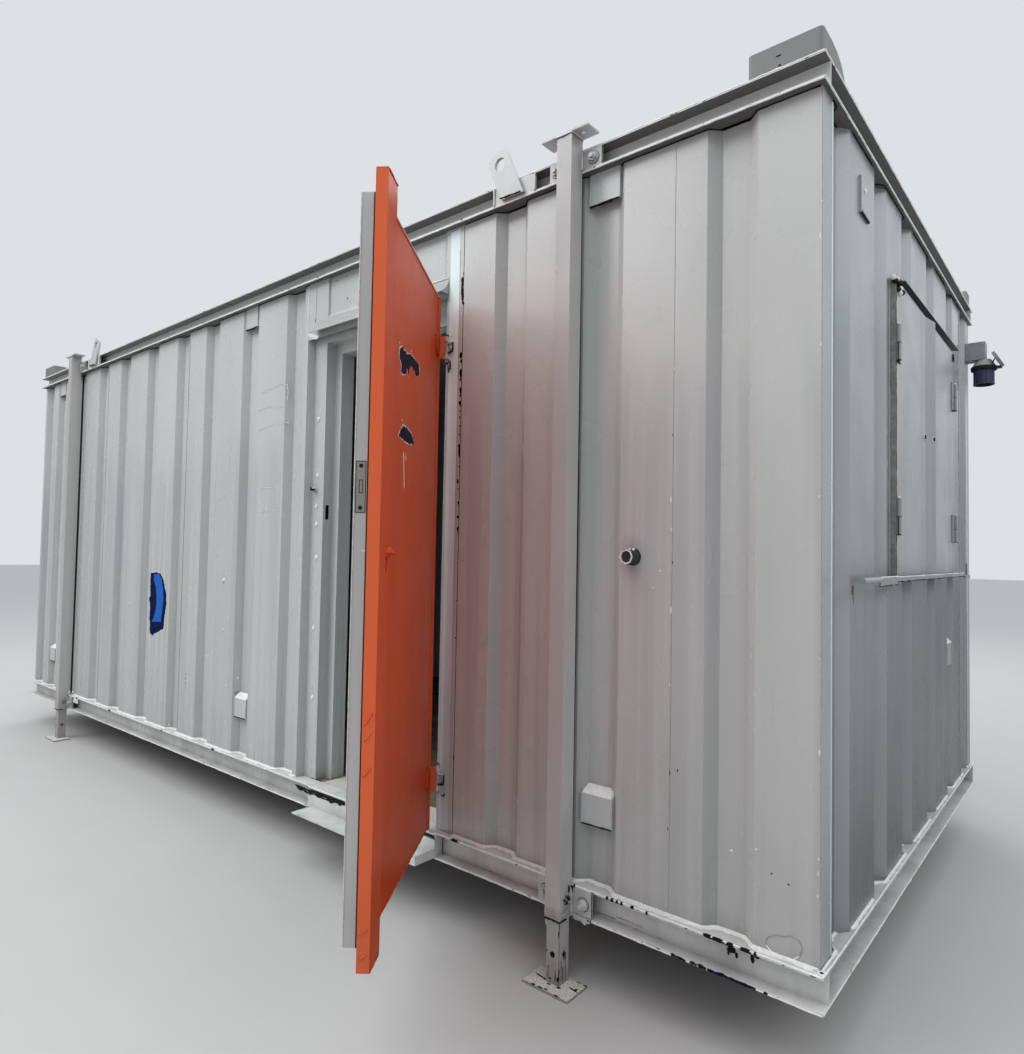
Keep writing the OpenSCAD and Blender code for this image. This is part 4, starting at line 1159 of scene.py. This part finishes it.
def buildNearLeg():
    g = nearLeg
    x, y = g["place"]
    face, side = y - 30, x + 30
    wrinkles = []
    for z, dip in g["wrinkles"]:
        wrinkles += [[(x - 29, face - 0.4, z + dip), (x - 8, face - 0.4, z - dip),
            (x + 12, face - 0.4, z + dip), (x + 30, face - 0.4, z - 3)],
            [(side + 0.4, face, z - 3), (side + 0.4, y - 6, z + dip), (side + 0.4, y + 28, z + 8)]]
    bead("leg_paint_wrinkles", wrinkles, "legPaint", 1.5, 7, 4, 0.9, 21, 60)
    wear = [[(x + 25.2, y - 25.2, z) for z in (-195, -120, -20)]]
    wear += [[(x + u, y - 25.4, z0), (x + u + 1, y - 25.4, z1)] for u, z0, z1 in g["frontStreaks"]]
    wear += [[(x + 25.4, y + u, z0), (x + 25.4, y + u - 1, z1)] for u, z0, z1 in g["sideStreaks"]]
    bead("leg_worn_streaks", wear, "shadeDirt", 0.7, 7, 3, 1.8, 22, 50)
    dark, pale = Shapes(), Shapes()
    dark.blots(lambda a, b: (x + a, y - 25, b), g["frontChips"], 860, outFront, 0.5)
    dark.blots(lambda a, b: (x + 25, y + a, b), g["sideChips"], 880, outEnd, 0.5)
    dark.tube((x, y - 25, -112), outFront, -2, 0.6, 7.4, 9.4, 24)
    dark.prism([(side, y + a, b) for a, b in blot(14, 84, 6, 15, 899)], outEnd, 0.5)
    dark.turned((side + 4, y, 56), outEnd, [(-3.9, 14), (2, 14.5), (4.4, 13), (4.6, 9)], 6)
    # painted highlights: pale lumps on the dark pin end
    for i, (u, z, size) in enumerate(g["nutLights"]):
        pale.lump(lambda a, b: (side + 8.2, y + a, b), outEnd, u, z, size, size, size * 0.6, 890 + i)
    for i, (u, w, half, tall, turn) in enumerate(g["plateScratches"]):
        shape = [(u + a * math.cos(turn) - b * math.sin(turn), w + a * math.sin(turn)
            + b * math.cos(turn)) for a, b in blot(0, 0, half, tall, 910 + i, 18)]
        dark.prism([(a, b, -202.4) for a, b in shape], upward, 0.5)
    dark.piece("near_leg_dark_marks", "chippedBlack")
    for i, (u, z) in enumerate(g["bolts"]):
        pale.turned((x + u, railFace, z), outFront, [(0, 17.5), (5, 17.2), (10, 15), (14.5, 10),
            (16.5, 1)], 22)
    pale.piece("near_leg_bolts_and_nut_highlights", "fittingPaint", smooth=True)
    shadow = Shapes()
    # painted shadow below and to the right of each bolt dome; the old dark paint of the bracket's ragged
    # foot follows
    for i, (u, z) in enumerate(g["bolts"]):
        shadow.patch(onFront(railFace), blot(x + u + 4, z - 5, 20, 19, 920 + i, 22), outFront, 0.3)
    shadow.patch(onFront(railFace), ragged(g["flake"], 7, 2.0, 925), outFront, 1.6, 1.6)
    shadow.piece("bracket_old_paint_and_bolt_shadows", "oldThread")
    Shapes().patch(onFront(-1220.6), ragged(grown(g["flake"], -2), 7, 1.5, 926), outFront, 0.8,
        0.4).piece("bracket_hanging_paint", "fittingPaint")
    clip = [[(x - 36, y - 6, 50), (x - 43, y - 10, 30), (x - 45, y - 8, -14), (x - 40, y - 6, -40),
        (x - 34, y - 6, -44)]]
    bead("near_leg_clip", clip, "sealant", 3, 5, 0, 0.3, 1)
    sheets = Shapes()
    wide, deep = g["plateHalf"]
    for s, t in fourCorners:
        u, w = s * x, t * (15 - y)
        outline = [(u - wide, w - deep), (u + wide, w - deep), (u + wide, w + deep),
            (u - wide, w + deep)]
        sheets.prism([(a, b, -202.9) for a, b in ragged(outline, 9, 2.6, 930 + s + 3 * t)], upward, 0.3)
    sheets.piece("foot_plate_paint", "platePaint")


buildFrameWork()
buildNearLeg()
print("frame fittings done")

# door
doorLook = dict(face=doorFace,
    chipOne=[(1014, 1754), (1040, 1768), (1110, 1764), (1160, 1778), (1271, 1775), (1283, 1744),
        (1241, 1726), (1215, 1736), (1150, 1738), (1130, 1700), (1105, 1722), (1099, 1699),
        (1064, 1686), (1035, 1686), (1040, 1712), (1010, 1728)],
    chipTwo=[(1081, 1533), (1130, 1531), (1187, 1525), (1230, 1498), (1175, 1488), (1115, 1486),
        (1061, 1490), (1019, 1488), (1041, 1509)],
    seamSpan=(114.5, 2102.5), plate=(-1143, -1117, 1241, 1377), bolt=(-1135, -1126, 1293, 1327),
    screwLevels=(1253, 1365), boltPlace=(745, -1208, 1138),
    ribRuns=[(735, 706), (686, 668), (600, 580), (206, 194), (144, 134)],
    paleSpots=[(1010, 1772, 4, 3), (1160, 1790, 5, 3), (1060, 1545, 4, 3), (905, 1950, 2, 3),
        (860, 620, 2, 3)])


def buildDoor():
    d = doorLook
    out, face, inward = outFront, onFront(d["face"]), (-1, 0, 0)
    rim, black = Shapes(), Shapes()
    for i, shape in enumerate((d["chipOne"], d["chipTwo"])):
        rim.patch(face, ragged(grown(shape, 5), 10, 2.5, 20 + i), out, 0.4)
        black.patch(face, ragged(shape, 8, 3.0, 30 + i), out, 0.7)
    rim.blots(face, d["paleSpots"], 700, out, 0.6)
    rim.piece("door_chip_rims", "chippedRim", "door")
    black.piece("door_chips", "chippedBlue", "door")
    drips = [[(1090, -1159, 1451), (1094, -1159.2, 1425)], [(1091, -1159, 1440), (1096, -1159.6, 1400),
        (1103, -1159.3, 1370), (1108, -1158.6, 1338)], [(1122, -1158.4, 1455), (1121, -1159, 1428)]]
    rimLine = [[(780, -1160, 2123.6), (1180, -1160, 2123.8), (1577, -1160, 2123.6)]]
    bead("door_pale_top_line", rimLine, "chippedRim", 1.8, 20, 0, 0.8, 7, 12, body="door")
    bead("door_pale_drips", drips, "chippedRim", 1.3, 10, 2, 0.9, 4, body="door")
    x, y, z = d["boltPlace"]
    bolts("door_rib_bolt", [((x, y, z), out)], "doorOrangePaint", 6, 14, 13, 18, 8, 5, "door")
    # painted shadow under the rib bolt's head, and a dark streak below it
    shadowAndStreak = Shapes()
    shadowAndStreak.patch(onFront(y), blot(x - 3, z - 17, 10, 7, 720), out, 0.5)
    shadowAndStreak.patch(onFront(y), blot(x - 8, z - 36, 3, 17, 721), out, 0.4)
    shadowAndStreak.piece("rib_bolt_shadow_and_streak", "shadeDirt", "door")
    runs = [[(672, -1200, z0), (671.6, -1192, (z0 + z1) / 2), (672, -1181, z1)]
        for z0, z1 in d["ribRuns"]]
    runs += [[(x, y, z - 16), (x + 1, y - 0.4, z - 40), (x, y, z - 75)],
        [(765, -1200, 130), (775, -1162, 128)], [(676, -1208, 2122), (760, -1208, 2122)],
        [(674, -1208, 101), (758, -1208, 101)], [(780, -1159.5, 2118), (1577, -1159.5, 2118)],
        [(780, -1159.5, 104), (1577, -1159.5, 104)], [(1580, -1160.6, 105), (1580, -1160.6, 2117)]]
    bead("door_paint_runs", runs, "doorOrangePaint", 2.6, 9, 3, 0.9, 2, 60, body="door")
    edges = Shapes()
    foot, top = d["seamSpan"]
    edges.box((755.4, -1114.2, foot), (757.2, -1111.4, top))
    edges.band(onEnd(757), (-1151, z), (-1138, z + 4), inward, 0.5)
    edges.piece("leaf_pale_edge", "chippedRim", "door")
    seam = Shapes()
    # painted shade: a dark strip on the leaf's edge stands for the shade in the gap by the rib; the lock
    # plate's outlines and screws follow
    seam.box((755.5, -1157.6, foot), (757.4, -1146.5, top))
    for a, b, low, high in (d["plate"], d["bolt"]):
        # thin dark outline of the lock plate and of its bolt's face
        for side, level in ((a, low), (b, high)):
            seam.band(onEnd(756.4), (side - 0.7, low), (side + 0.7, high), inward, 0.5)
            seam.band(onEnd(756.4), (a, level - 0.8), (b, level + 0.8), inward, 0.5)
    for z in d["screwLevels"]:
        seam.turned((756.9, -1130, z), inward, [(-1.5, 5.6), (0.9, 5.6)], 20)
    seam.piece("leaf_seam_shade_and_outlines", "rubberSeal", "door")
    seal = Shapes()
    seal.box((757.5, -1158.8, 116), (763, -1155.8, 2101))
    seal.piece("leaf_rubber_seal", "rubberSeal", "door")
    cap = Shapes()
    cap.prism([(672, -1178, 2124), (672, -1208, 2124), (762, -1208, 2124), (776, -1162, 2124),
        (770, -1162, 2124), (757, -1178, 2124)], upward, 1.2, 3.0)
    cap.prism([(675, -1178, 99), (675, -1205, 99), (760, -1205, 99), (770, -1170, 99)], upward, 2.0,
        0.0)
    cap.piece("door_rib_end_caps", "doorOrangePaint", "door")
    Shapes().band(onEnd(756.8), (-1133.9, 1293), (-1127.1, 1327), inward, 0.1,
        9).piece("lock_bolt_face", "plateGrey", "door")


hingeLook = dict(axis=(1604, -1192), barrelLows=(-43, 24.2), barrelHeight=18.6, radii=(10.9, 11.6),
    cheekDepth=9.0,
    cheek=[(1579, 36), (1566, 44), (1550, 43), (1538, 34), (1533, 20), (1533, -12), (1540, -27),
        (1558, -36), (1579, -36)])


def buildHingeBarrels():
    barrels = Shapes()
    for z in hingeLevels:
        for low in hingeLook["barrelLows"]:
            barrels.tube((*hingeLook["axis"], z + low), upward, 0.2, hingeLook["barrelHeight"],
                *hingeLook["radii"], 28)
            barrels.prism([(1583.6, -1197.5, z + low), (1596, -1197.5, z + low),
                (1596, -1175.6, z + low), (1590.2, -1175.6, z + low), (1590.2, wallFace, z + low),
                (1583.6, -1190.4, z + low)], upward, 19.1, 0.3)
    barrels.piece("hinge_barrel_paint", "hoodPaint", "door")


def buildHingeCheeks():
    # half round lugs welded on the door's edge, as seen from outside; their darker red is painted shade
    cheeks = Shapes()
    for z in hingeLevels:
        cheeks.prism([(x, doorFace, z + up) for x, up in hingeLook["cheek"]], outFront,
            hingeLook["cheekDepth"], 1.0)
    cheeks.piece("hinge_cheeks", "hingeRedShaded", "door")


buildDoor()
buildHingeBarrels()
buildHingeCheeks()
print("door fittings done")

# doorway
doorway = dict(bumps=[(694, 1756), (698, 1491), (695, 1346), (699, 1262), (707, 1107), (700, 780),
        (704, 460)],
    catch=(684, 1425),
    tongue=[(712, 2140), (742, 2133), (784, 2118), (788, 2110), (772, 2104), (744, 2110), (722, 2124)],
    jointX=702,
    chips=[(935, 2272, 5, 6), (742, 2385, 8, 3), (760, 2382, 6, 2), (800, 2378, 14, 2),
        (850, 2371, 12, 2), (920, 2376, 8, 2)],
    ledgeShadowDrips=[(700, 760), (790, 830), (850, 905), (930, 1000), (1010, 1048)],
    strip=[(1611, 100), (1664, 100), (1664, 1180), (1663, 2205), (1663, 2384), (1611, 2384)],
    strapLumps=[(1624, 270, 7, 5), (1638, 234, 6, 5), (1620, 1860, 7, 16), (1630, 1930, 5, 7)],
    strapSpecks=[(1624, 1973, 2.5, 2.5), (1634, 1912, 5, 4), (1620, 1938, 4, 3), (1643, 1922, 3, 5)],
    threshold=[(806, -1150), (1578, -1150), (1578, -1040), (806, -1040)], cornerHole=(3038, -1199, 93))


def buildDoorway():
    d = doorway
    bumps = Shapes()
    for i, (x, z) in enumerate(d["bumps"]):
        bumps.lump(onFront(recessFace), outFront, x, z, 10, 14, 6, 580 + i)
    bumps.piece("jamb_weld_spots", "sealant", smooth=True)
    catch = Shapes()
    x, z = d["catch"]
    catch.turned((x, recessFace, z), outFront, [(-1, 15), (3, 15), (4, 10), (16, 9), (18, 6), (30, 6),
        (32, 4)], 20)
    catch.turned((x - 4, -1178, z - 3), outEnd, [(0, 3.5), (28, 3.5)], 12)
    catch.piece("jamb_catch", "fittingPaint")
    core = Shapes()
    core.turned((x + 5, -1184, z + 2), outFront, [(0, 8), (2.6, 7.6), (3, 5)], 18)
    core.turned((x + 10, -1180, z - 3), outEnd, [(0, 5), (15, 5)], 12)
    core.piece("jamb_catch_dark_end", "shadeDirt")
    joint = d["jointX"]
    beads = [[(1500, -1190.5, 2206), (1606, -1190.5, 2208)], [(640, -1190.4, 2140),
        (640, -1190.4, 2390)], [(792, railFace, 88), (1620, railFace, 88)],
        [(790, -1214, 93), (790, -1160, 93)]]
    bead("doorway_weld_beads", beads, "sealant", 2.4, 8, 3, 1, 7, 70)
    Shapes().prism([(x, -1235 + (2140 - z) * 0.2, z) for x, z in d["tongue"]], (0.1, -0.9, -0.4), 1.2,
        0.4).piece("canopy_folded_end", "sealant")
    pale, dark = Shapes(), Shapes()
    dark.band(onFront(wallFace), (joint - 0.8, 2212), (joint + 0.8, 2388), outFront, 0.3)
    for i, (x, z, half, tall) in enumerate(d["chips"]):
        y = -1182 if x > 803 else wallFace
        addChip(pale, dark, onFront(y), outFront, x, z, half, tall, 800 + i, 1.0)
    addChip(pale, dark, onFront(wallFace), outFront, joint - 3, 2214, 3, 8, 830, 1.0)
    # painted shadow: ragged dark patches hang under the sill's ledge
    for i, (x0, x1) in enumerate(d["ledgeShadowDrips"]):
        shape = [(x0, 66.5), (x0 + 8, 60 - 3 * (i % 3)), ((x0 + x1) / 2, 55 - 4 * (i % 2)),
            (x1 - 9, 61), (x1, 66.5)]
        dark.patch(onFront(railFace), ragged(shape, 6, 1.5, 840 + i), outFront, 0.5)
    dark.piece("doorway_dark_chips_and_ledge_shadow", "chippedBlack")
    pale.piece("doorway_chip_rims", "chippedRim")
    clips = [[(1624 + 9 * math.sin(a), -1201 - 5 * math.sin(a), 1854 + 24 * math.cos(a))
        for a in (2 * math.pi * k / 18 for k in range(19))], [(1600, -1204, 1866), (1608, -1204, 1862)]]
    bead("hinge_pin_rings", clips, "darkWire", 2.2, 4, 0, 0, 1)
    strip = Shapes()
    # a fresh paint strip beside the hinges, its paleness partly painted light
    strip.patch(onFront(wallFace), ragged(d["strip"], 60, 0.8, 850), outFront, 0.25)
    strip.piece("hinge_side_strip_paint_and_light", "stripPaintAndLight")
    hingeWelds = [[(1606, -1197, z + 18), (1638, -1197, z + 19)] for z in hingeLevels]
    # painted shadows: dark lines along the right and lower edges of the hinge straps and round some of the
    # painted lumps on them
    outline = [[(1641, -1198, z + 18), (1641.5, -1198, z - 18), (1606, -1198, z - 21)]
        for z in hingeLevels]
    outline += [ring((1624, -1200, 272), outEnd, upward, 7, 16, 200, 200),
        ring((1638, -1196, 233), outEnd, upward, 7, 16, 180, 230),
        [(1622, -1200, 1879), (1632, -1200, 1872), (1633, -1200, 1846), (1621, -1200, 1834)]]
    bead("hinge_painted_shadow_lines", outline, "shadeDirt", 2.4, 6, 2, 0.8, 8, 120)
    knuckles = Shapes()
    for x, z, half, tall in d["strapLumps"]:
        knuckles.lump(onFront(-1194), outFront, x, z, half, tall, 5, 940 + z)
    knuckles.piece("hinge_painted_lumps", "sealant", smooth=True)
    specks = Shapes()
    for i, row in enumerate(d["strapSpecks"]):
        specks.patch(onFront(-1201 if i else wallFace), blot(*row, 960 + i), outFront, 0.6)
    specks.piece("hinge_dark_specks", "shadeDirt")
    Shapes().prism([(a, b, 92.8) for a, b in ragged(d["threshold"], 22, 5.0, 970)], upward,
        0.5).piece("threshold_worn_paint", "platePaint")
    Shapes().tube(d["cornerHole"], upward, 0, 2.4, 5.6, 10.5, 24).piece("corner_hole_rim", "sealant",
        smooth=True)
    # painted shade: a dark disc stands for the hole's shaded inside
    Shapes().turned(d["cornerHole"], upward, [(-0.5, 5.7), (1.6, 5.7)], 20).piece("corner_hole",
        "shadeDirt")
    # painted shadow: dark lines under the sill's ledge and along the threshold's inner edge
    sill = [[(694, -1219.6, 71), (740, -1219.6, 66), (783, -1219.6, 60), (850, -1219.6, 64),
        (920, -1219.6, 61), (1046, -1219.6, 66)], [(690, -1219.4, 74), (1110, -1219.4, 66.5)]]
    sill.append([(700, -1152, 92.5), (745, -1152, 92.5), (792, -1152, 92.5)])
    bead("sill_painted_shadow_line", sill, "chippedBlack", 3.4, 8, 6, 1.3, 14, 60)
    bead("hinge_strap_welds", hingeWelds, "sealant", 3, 6, 3, 0.8, 3, 120)


buildDoorway()
print("doorway done")

# window end
windowLook = dict(x=3055,
    topBlocks=[((3056, 580, 2079), (3060, 592, 2087)), ((3056, 577, 2054), (3061, 596, 2076))],
    keyholes=[(3057.2, -50, 1614, 0.04), (3070.8, 47, 1617, 0.167)],
    hinges=[(-486, 1222), (-486, 1812), (596, 1222), (596, 1824)],
    cornerBits=[(-505, 2096), (-494, 2086), (-486, 2094), (-478, 2078), (-466, 2084), (-456, 2068),
        (-444, 2074), (-432, 2062), (-420, 2066), (-470, 2062), (-448, 2056)])


def buildWindow():
    w = windowLook
    x0 = w["x"]
    edges = [[(x0 + 0.5, -488, 1077), (x0 + 0.5, -488, 2093)], [(3035, -491, 1080), (3035, -491, 2090)]]
    bead("window_rust_edge", edges, "rustyEdge", 1.8, 10, 2, 1, 5, 60)
    dark, pale = Shapes(), Shapes()
    for x, y, z, slope in w["keyholes"]:
        out = Vector((1, -slope, 0)).normalized()
        dark.turned((x, y, z), out, [(-1, 9), (4, 9), (6, 7)], 20)
        pale.tube((x, y, z), out, -1, 3, 8, 12, 20)
    for y, z in w["hinges"]:
        side = 1 if y < 0 else -1
        for level, high in ((z, 2.2), (z + 60, 2.2)):
            dark.turned((x0 + 8, y, level - 0.2), upward, [(0, 8.7), (high, 8.7)], 20)
            dark.box((x0 + 0.5, min(y, y + side * 34), level), (x0 + 5.6, max(y, y + side * 34),
                level + high))
        low = z + 2 if side > 0 else z + 61
        dark.prism([(x0 + 7, y - side * 8.2, low), (x0 + 10, y - side * 8.2, low),
            (x0 + 10, y - side * 8.2, low + 58), (x0 + 7, y - side * 8.2, low + 58)], (0, -side, 0),
            0.6)
        pale.turned((x0 + 8, y, z + 124), upward, [(-0.2, 6.5), (3, 6.5), (5, 4)], 16)
    for i, (y, z) in enumerate(w["cornerBits"]):
        (dark if i % 2 else pale).turned((x0 - 8 + 4 * (i % 4), y, z - 8), (0.3, 0.2, 1),
            [(0, 7), (5, 11), (12, 10), (16, 4)], 9)
    for low, high in w["topBlocks"]:
        dark.box(low, high)
    dark.piece("window_dark_details", "rubberSeal")
    pale.piece("window_pale_details", "sealant")
    drips = [[(3053.5, -996 + k * 9, 1066), (3053, -998 + k * 9, 1066 - 26 - 14 * (k % 3))]
        for k in range(3)]
    bead("sill_rust_drips", drips, "rustyEdge", 1.1, 12, 3, 1.2, 6)
    # painted shadow: a black bead under the sill's edge
    under = [[(3084, -598, 1069), (3084, 700, 1069)], [(3084, -816, 1059), (3084, -600, 1060)]]
    bead("sill_underedge_painted_shadow", under, "chippedBlack", 1.8, 9, 4, 1.4, 11, 45)
    # a pale ridge along the sill's top edge, pale as a painted highlight
    lip = [[(3083, -598, 1083.5), (3083, 700, 1083.5)], [(3085, -816, 1085.5), (3085, -600, 1085.5)]]
    bead("sill_ridge_painted_highlight", lip, "sealant", 2.2, 12, 1, 0.7, 12, 40)
    welds = [[(3034, -490, 1068), (3034, 600, 1068)], [(3034, -492, 1075), (3034, -492, 2095)],
        [(3034, 602, 1075), (3034, 602, 2095)], [(3034, -390, 2124), (3034, 705, 2139)]]
    bead("window_frame_welds", welds, "endWallShadedPaint", 3, 8, 2, 0.8, 3, 70)
    Shapes().lump(onEnd(3040), outEnd, -811, 2264, 9, 11, 4, 930).piece("vent_plate_lump", "sealant",
        smooth=True)
    # painted shade: a dark strip stands for the slit under the vent plate
    Shapes().prism([(3039, -846, 2184), (3039, -760, 2184), (3039, -760, 2187), (3039, -846, 2193)],
        outEnd, 1.4).piece("vent_plate_slit", "chippedBlack")


buildWindow()
print("window fittings done")

# pipe and supply inlet
services = dict(pipe=(2462, wallFace, 1135), pipeRadius=24.15, boxX=(3033, 3123), boxY=1085,
    boxZ=(2172, 2262), shroud=(3113, 1121, 2046))


def buildServices():
    x, y, z = services["pipe"]
    pipeRadius = services["pipeRadius"]
    thread = [(18, 23.4)]
    for k in range(8):
        thread += [(20 + k * 2.6, 23.6), (21.3 + k * 2.6, 24.7)]
    Shapes().turned((x, y, z), outFront, thread + [(41, 23.6)], 40).piece("pipe_thread", "oldThread")
    Shapes().tube((x, y, z), outFront, 40, 46, 19.2, 24.3, 8).piece("pipe_mouth_ring", "chippedRim")
    # painted shade: a dark disc a little way into the bore
    Shapes().turned((x, y, z), outFront, [(8, 20.4), (12, 20.4)], 30).piece("pipe_bore_painted_shade",
        "chippedBlack")
    collar = ring((x, y - 1, z), outEnd, upward, 24.3, 30)
    bead("pipe_collar_weld", [collar], "chippedBlack", 2.2, 6, 2, 0.8, 4, 120)
    blobs = Shapes()
    for k in range(5):
        blobs.lump(lambda u, v: (x + u, y + v, z + math.sqrt(pipeRadius ** 2 - u * u)), upward,
            6 + 3 * (k % 3), -8 - 8 * k, 4, 5, 3, 590 + k)
    blobs.piece("pipe_paint_blobs", "sealant", smooth=True)
    (x0, x1), (z0, z1) = services["boxX"], services["boxZ"]
    screws = [((x, services["boxY"], z), outFront) for x in (x0 + 8, x1 - 8) for z in (z0 + 8, z1 - 8)]
    bolts("inlet_box_screws", screws, "zincBolt", 24, 4.2, 2, 4, 0.2, 5)
    x, y, z = services["shroud"]
    parts = Shapes()
    for k in range(16):
        a = 2 * math.pi * k / 16
        parts.turned((x + math.cos(a) * 46, y + math.sin(a) * 46, z + 3), upward, [(0, 1.6), (68, 1.6)],
            8)
    parts.tube((x, y, z), upward, -1, 4, 41.5, 48.5, 40)
    parts.piece("inlet_shroud_ribs", "socketBlue")
    pins = Shapes()
    for a in (30, 150, 270):
        a = math.radians(a)
        pins.turned((x + math.cos(a) * 19, y + math.sin(a) * 19, z + 20), upward,
            [(0, 3), (1, 4), (60, 4)], 14)
    pins.piece("inlet_contacts", "zincBolt")
    Shapes().tube((x, y, z), upward, 73.6, 90.4, 46.4, 58.7, 40).piece("inlet_collar_cover",
        "rubberSeal")
    hingeLoop = ring((x + 46, y - 34, z + 108), (0.45, 0, 0.9), (0.3, -0.9, 0), 13, 20)
    bead("inlet_lid_hinge_loop", [hingeLoop], "rubberSeal", 2.6, 4, 0, 0, 1)


buildServices()
print("pipe and inlet done")

# ventilators and roof
vents = dict(columns=[2332.5, 112.5, -2667.5], lowTop=(376, 402), lowFoot=281)


def buildVentEdges():
    v = vents
    low, high = v["lowTop"]
    edges, dark, tops = [], [], Shapes()
    for i, x in enumerate(v["columns"]):
        edges += [[(x + s * 59, -1187.5, v["lowFoot"] + 4), (x + s * 59, -1187.5, low)]
            for s in (1, -1)]
        edges += [[(x + s * 59, -1187.5, 2290), (x + s * 59, -1187.5, 2392)] for s in (1, -1)]
        # painted shadow: dark lines under each hood's open foot
        dark += [[(x - 56, -1188, z), (x + 56, -1188, z + 1)] for z in (v["lowFoot"], 2288)]
        # painted light: a pale sheet on each hood's sloped top, which faces the sky; the hood on the end
        # wall gets one too
        shape = ragged([(-56, 0), (56, 0), (52, 0.75), (36, 1), (-48, 1)], 9, 0.0, 950 + i)
        tops.prism([(x + u, -1187.4 + 25 * t, low + 0.6 + (high - low) * t) for u, t in shape],
            (0, -0.72, 0.69), 0.9, 0.3)
    edges += [[(3030.5, 632.5 + s * 59, 664), (3030.5, 632.5 + s * 59, 760)] for s in (1, -1)]
    tops.prism([(3030.4, 577, 760.6), (3030.4, 688, 760.6), (3006, 684, 786), (3006, 581, 786)],
        (0.72, 0, 0.69), 0.9, 0.3)
    tops.piece("vent_top_painted_light", "sealant")
    bead("vent_paint_edges", edges, "wallPaint", 2.2, 9, 3, 1.2, 9, 60)
    # more painted shadow under the top hoods, and along the left of a low hood's top
    dark += [[(x - 58, -1186.5, 2286), (x + 30, -1186.5, 2285)] for x in v["columns"]]
    dark.append([(60, -1189.5, 395), (72, -1189.8, 404), (88, wallFace, 410), (104, wallFace, 411)])
    bead("vent_painted_shadow_edges", dark, "chippedBlack", 2.2, 8, 3, 0.8, 2, 60)
    roofEdges = [[(-3000, -1168, 2461), (3000, -1168, 2461)], [(-3000, 1168, 2461), (3000, 1168, 2461)],
        [(-3002, -1168, 2461), (-3002, 1168, 2461)], [(3002, -1168, 2461), (3002, 1168, 2461)]]
    roofEdges += [[(x, -1166, 2460.5), (x, 1166, 2460.5)] for x in walls["backSheets"]]
    bead("roof_sealant", roofEdges, "sealant", 5, 20, 6, 0.7, 3, 20)


buildVentEdges()
print("ventilators and roof done")

# camera, lights, floor
view = dict(place=(3624.8, -3045.2, 1136.8), yaw=38.10, pitch=2.03, roll=0.91, focalPx=705.25,
    centre=(559.69, 530.05), size=(1024, 1054))


def setCamera():
    yaw, pitch, roll = (math.radians(view[k]) for k in ("yaw", "pitch", "roll"))
    ahead = Vector((-math.sin(yaw) * math.cos(pitch), math.cos(yaw) * math.cos(pitch), math.sin(pitch)))
    right = Vector((math.cos(yaw), math.sin(yaw), 0))
    up = right.cross(ahead)
    right, up = math.cos(roll) * right + math.sin(roll) * up, -math.sin(roll) * right + math.cos(roll) * up
    data = bpy.data.cameras.new("camera")
    longSide = max(view["size"])
    data.sensor_width = 36
    data.lens = view["focalPx"] * 36 / longSide
    data.shift_x = (view["size"][0] / 2 - view["centre"][0]) / longSide
    data.shift_y = (view["centre"][1] - view["size"][1] / 2) / longSide
    data.clip_start = 0.05
    camera = bpy.data.objects.new("camera", data)
    camera.matrix_world = Matrix.Translation(spot(*view["place"])) @ Matrix((right, up,
        -ahead)).transposed().to_4x4()
    scene.collection.objects.link(camera)
    scene.camera = camera


studio = dict(brightWay=(0.03, 0.99, 0.13), brightLow=0.97, brightHigh=1.8, zenith=(0.9, 0.95, 1.0),
    zenithPower=1.15, level=(0.8, 0.84, 0.88), levelPower=0.42, backdrop=(0.72, 0.75, 0.78),
    floor=(0.5, 0.49, 0.48), mirrored=(0.28, 0.27, 0.265),
    lamps=[("frontLamp", (-4.5, -8.0, 8.5), 5.0, 300), ("topLamp", (0.5, -2.5, 8.0), 7.0, 260),
        ("sideLamp", (9.5, -0.5, 6.5), 4.0, 100), ("backLamp", (-3.0, 8.5, 6.5), 6.0, 200)])


def makeFloor():
    # pale for the eye, darker where the glossy walls mirror it
    material, tree, shader = newMaterial("floorConcrete", Roughness=0.85)
    tone = noiseOut(tree, objectCoords(tree), 3.0, 4.0, 0.6)
    pale = blendColour(tree, tone, tinted(studio["floor"], 0.96), tinted(studio["floor"], 1.04))
    mirrored = addNode(tree, "ShaderNodeLightPath").outputs["Is Glossy Ray"]
    tree.links.new(blendColour(tree, mirrored, pale, studio["mirrored"]), shader.inputs["Base Color"])
    return material


def setStudio():
    world = bpy.data.worlds.new("studio")
    world.use_nodes = True
    tree = world.node_tree
    way = heightOf(tree, addNode(tree, "ShaderNodeTexCoord").outputs["Generated"])
    rise = ramp(tree, way, 0.02, 0.75)
    dome = blendColour(tree, rise, [c * studio["levelPower"] for c in studio["level"]],
        [c * studio["zenithPower"] for c in studio["zenith"]])
    toward = dotted(tree, addNode(tree, "ShaderNodeTexCoord").outputs["Generated"], studio["brightWay"])
    lobe = ramp(tree, toward, 0.9, 1.0, studio["brightLow"], studio["brightHigh"])
    dome = vectorMaths(tree, "SCALE", {0: dome, "Scale": lobe})
    seen = addNode(tree, "ShaderNodeLightPath").outputs["Is Camera Ray"]
    tree.links.new(blendColour(tree, seen, dome, studio["backdrop"]),
        tree.nodes["Background"].inputs["Color"])
    scene.world = world
    for name, place, size, power in studio["lamps"]:
        data = bpy.data.lights.new(name, "AREA")
        data.size = size
        data.energy = power
        lamp = bpy.data.objects.new(name, data)
        lamp.location = place
        lamp.rotation_euler = (Vector((0, 0, 1.2)) - Vector(place)).to_track_quat("-Z", "Y").to_euler()
        scene.collection.objects.link(lamp)
    mesh = bpy.data.meshes.new("floor")
    mesh.from_pydata([(-60, -60, 0), (60, -60, 0), (60, 60, 0), (-60, 60, 0)], [], [(0, 1, 2, 3)])
    floor = bpy.data.objects.new("floor", mesh)
    mesh.materials.append(makeFloor())
    scene.collection.objects.link(floor)


setCamera()
setStudio()
print("camera, lamps and floor set")
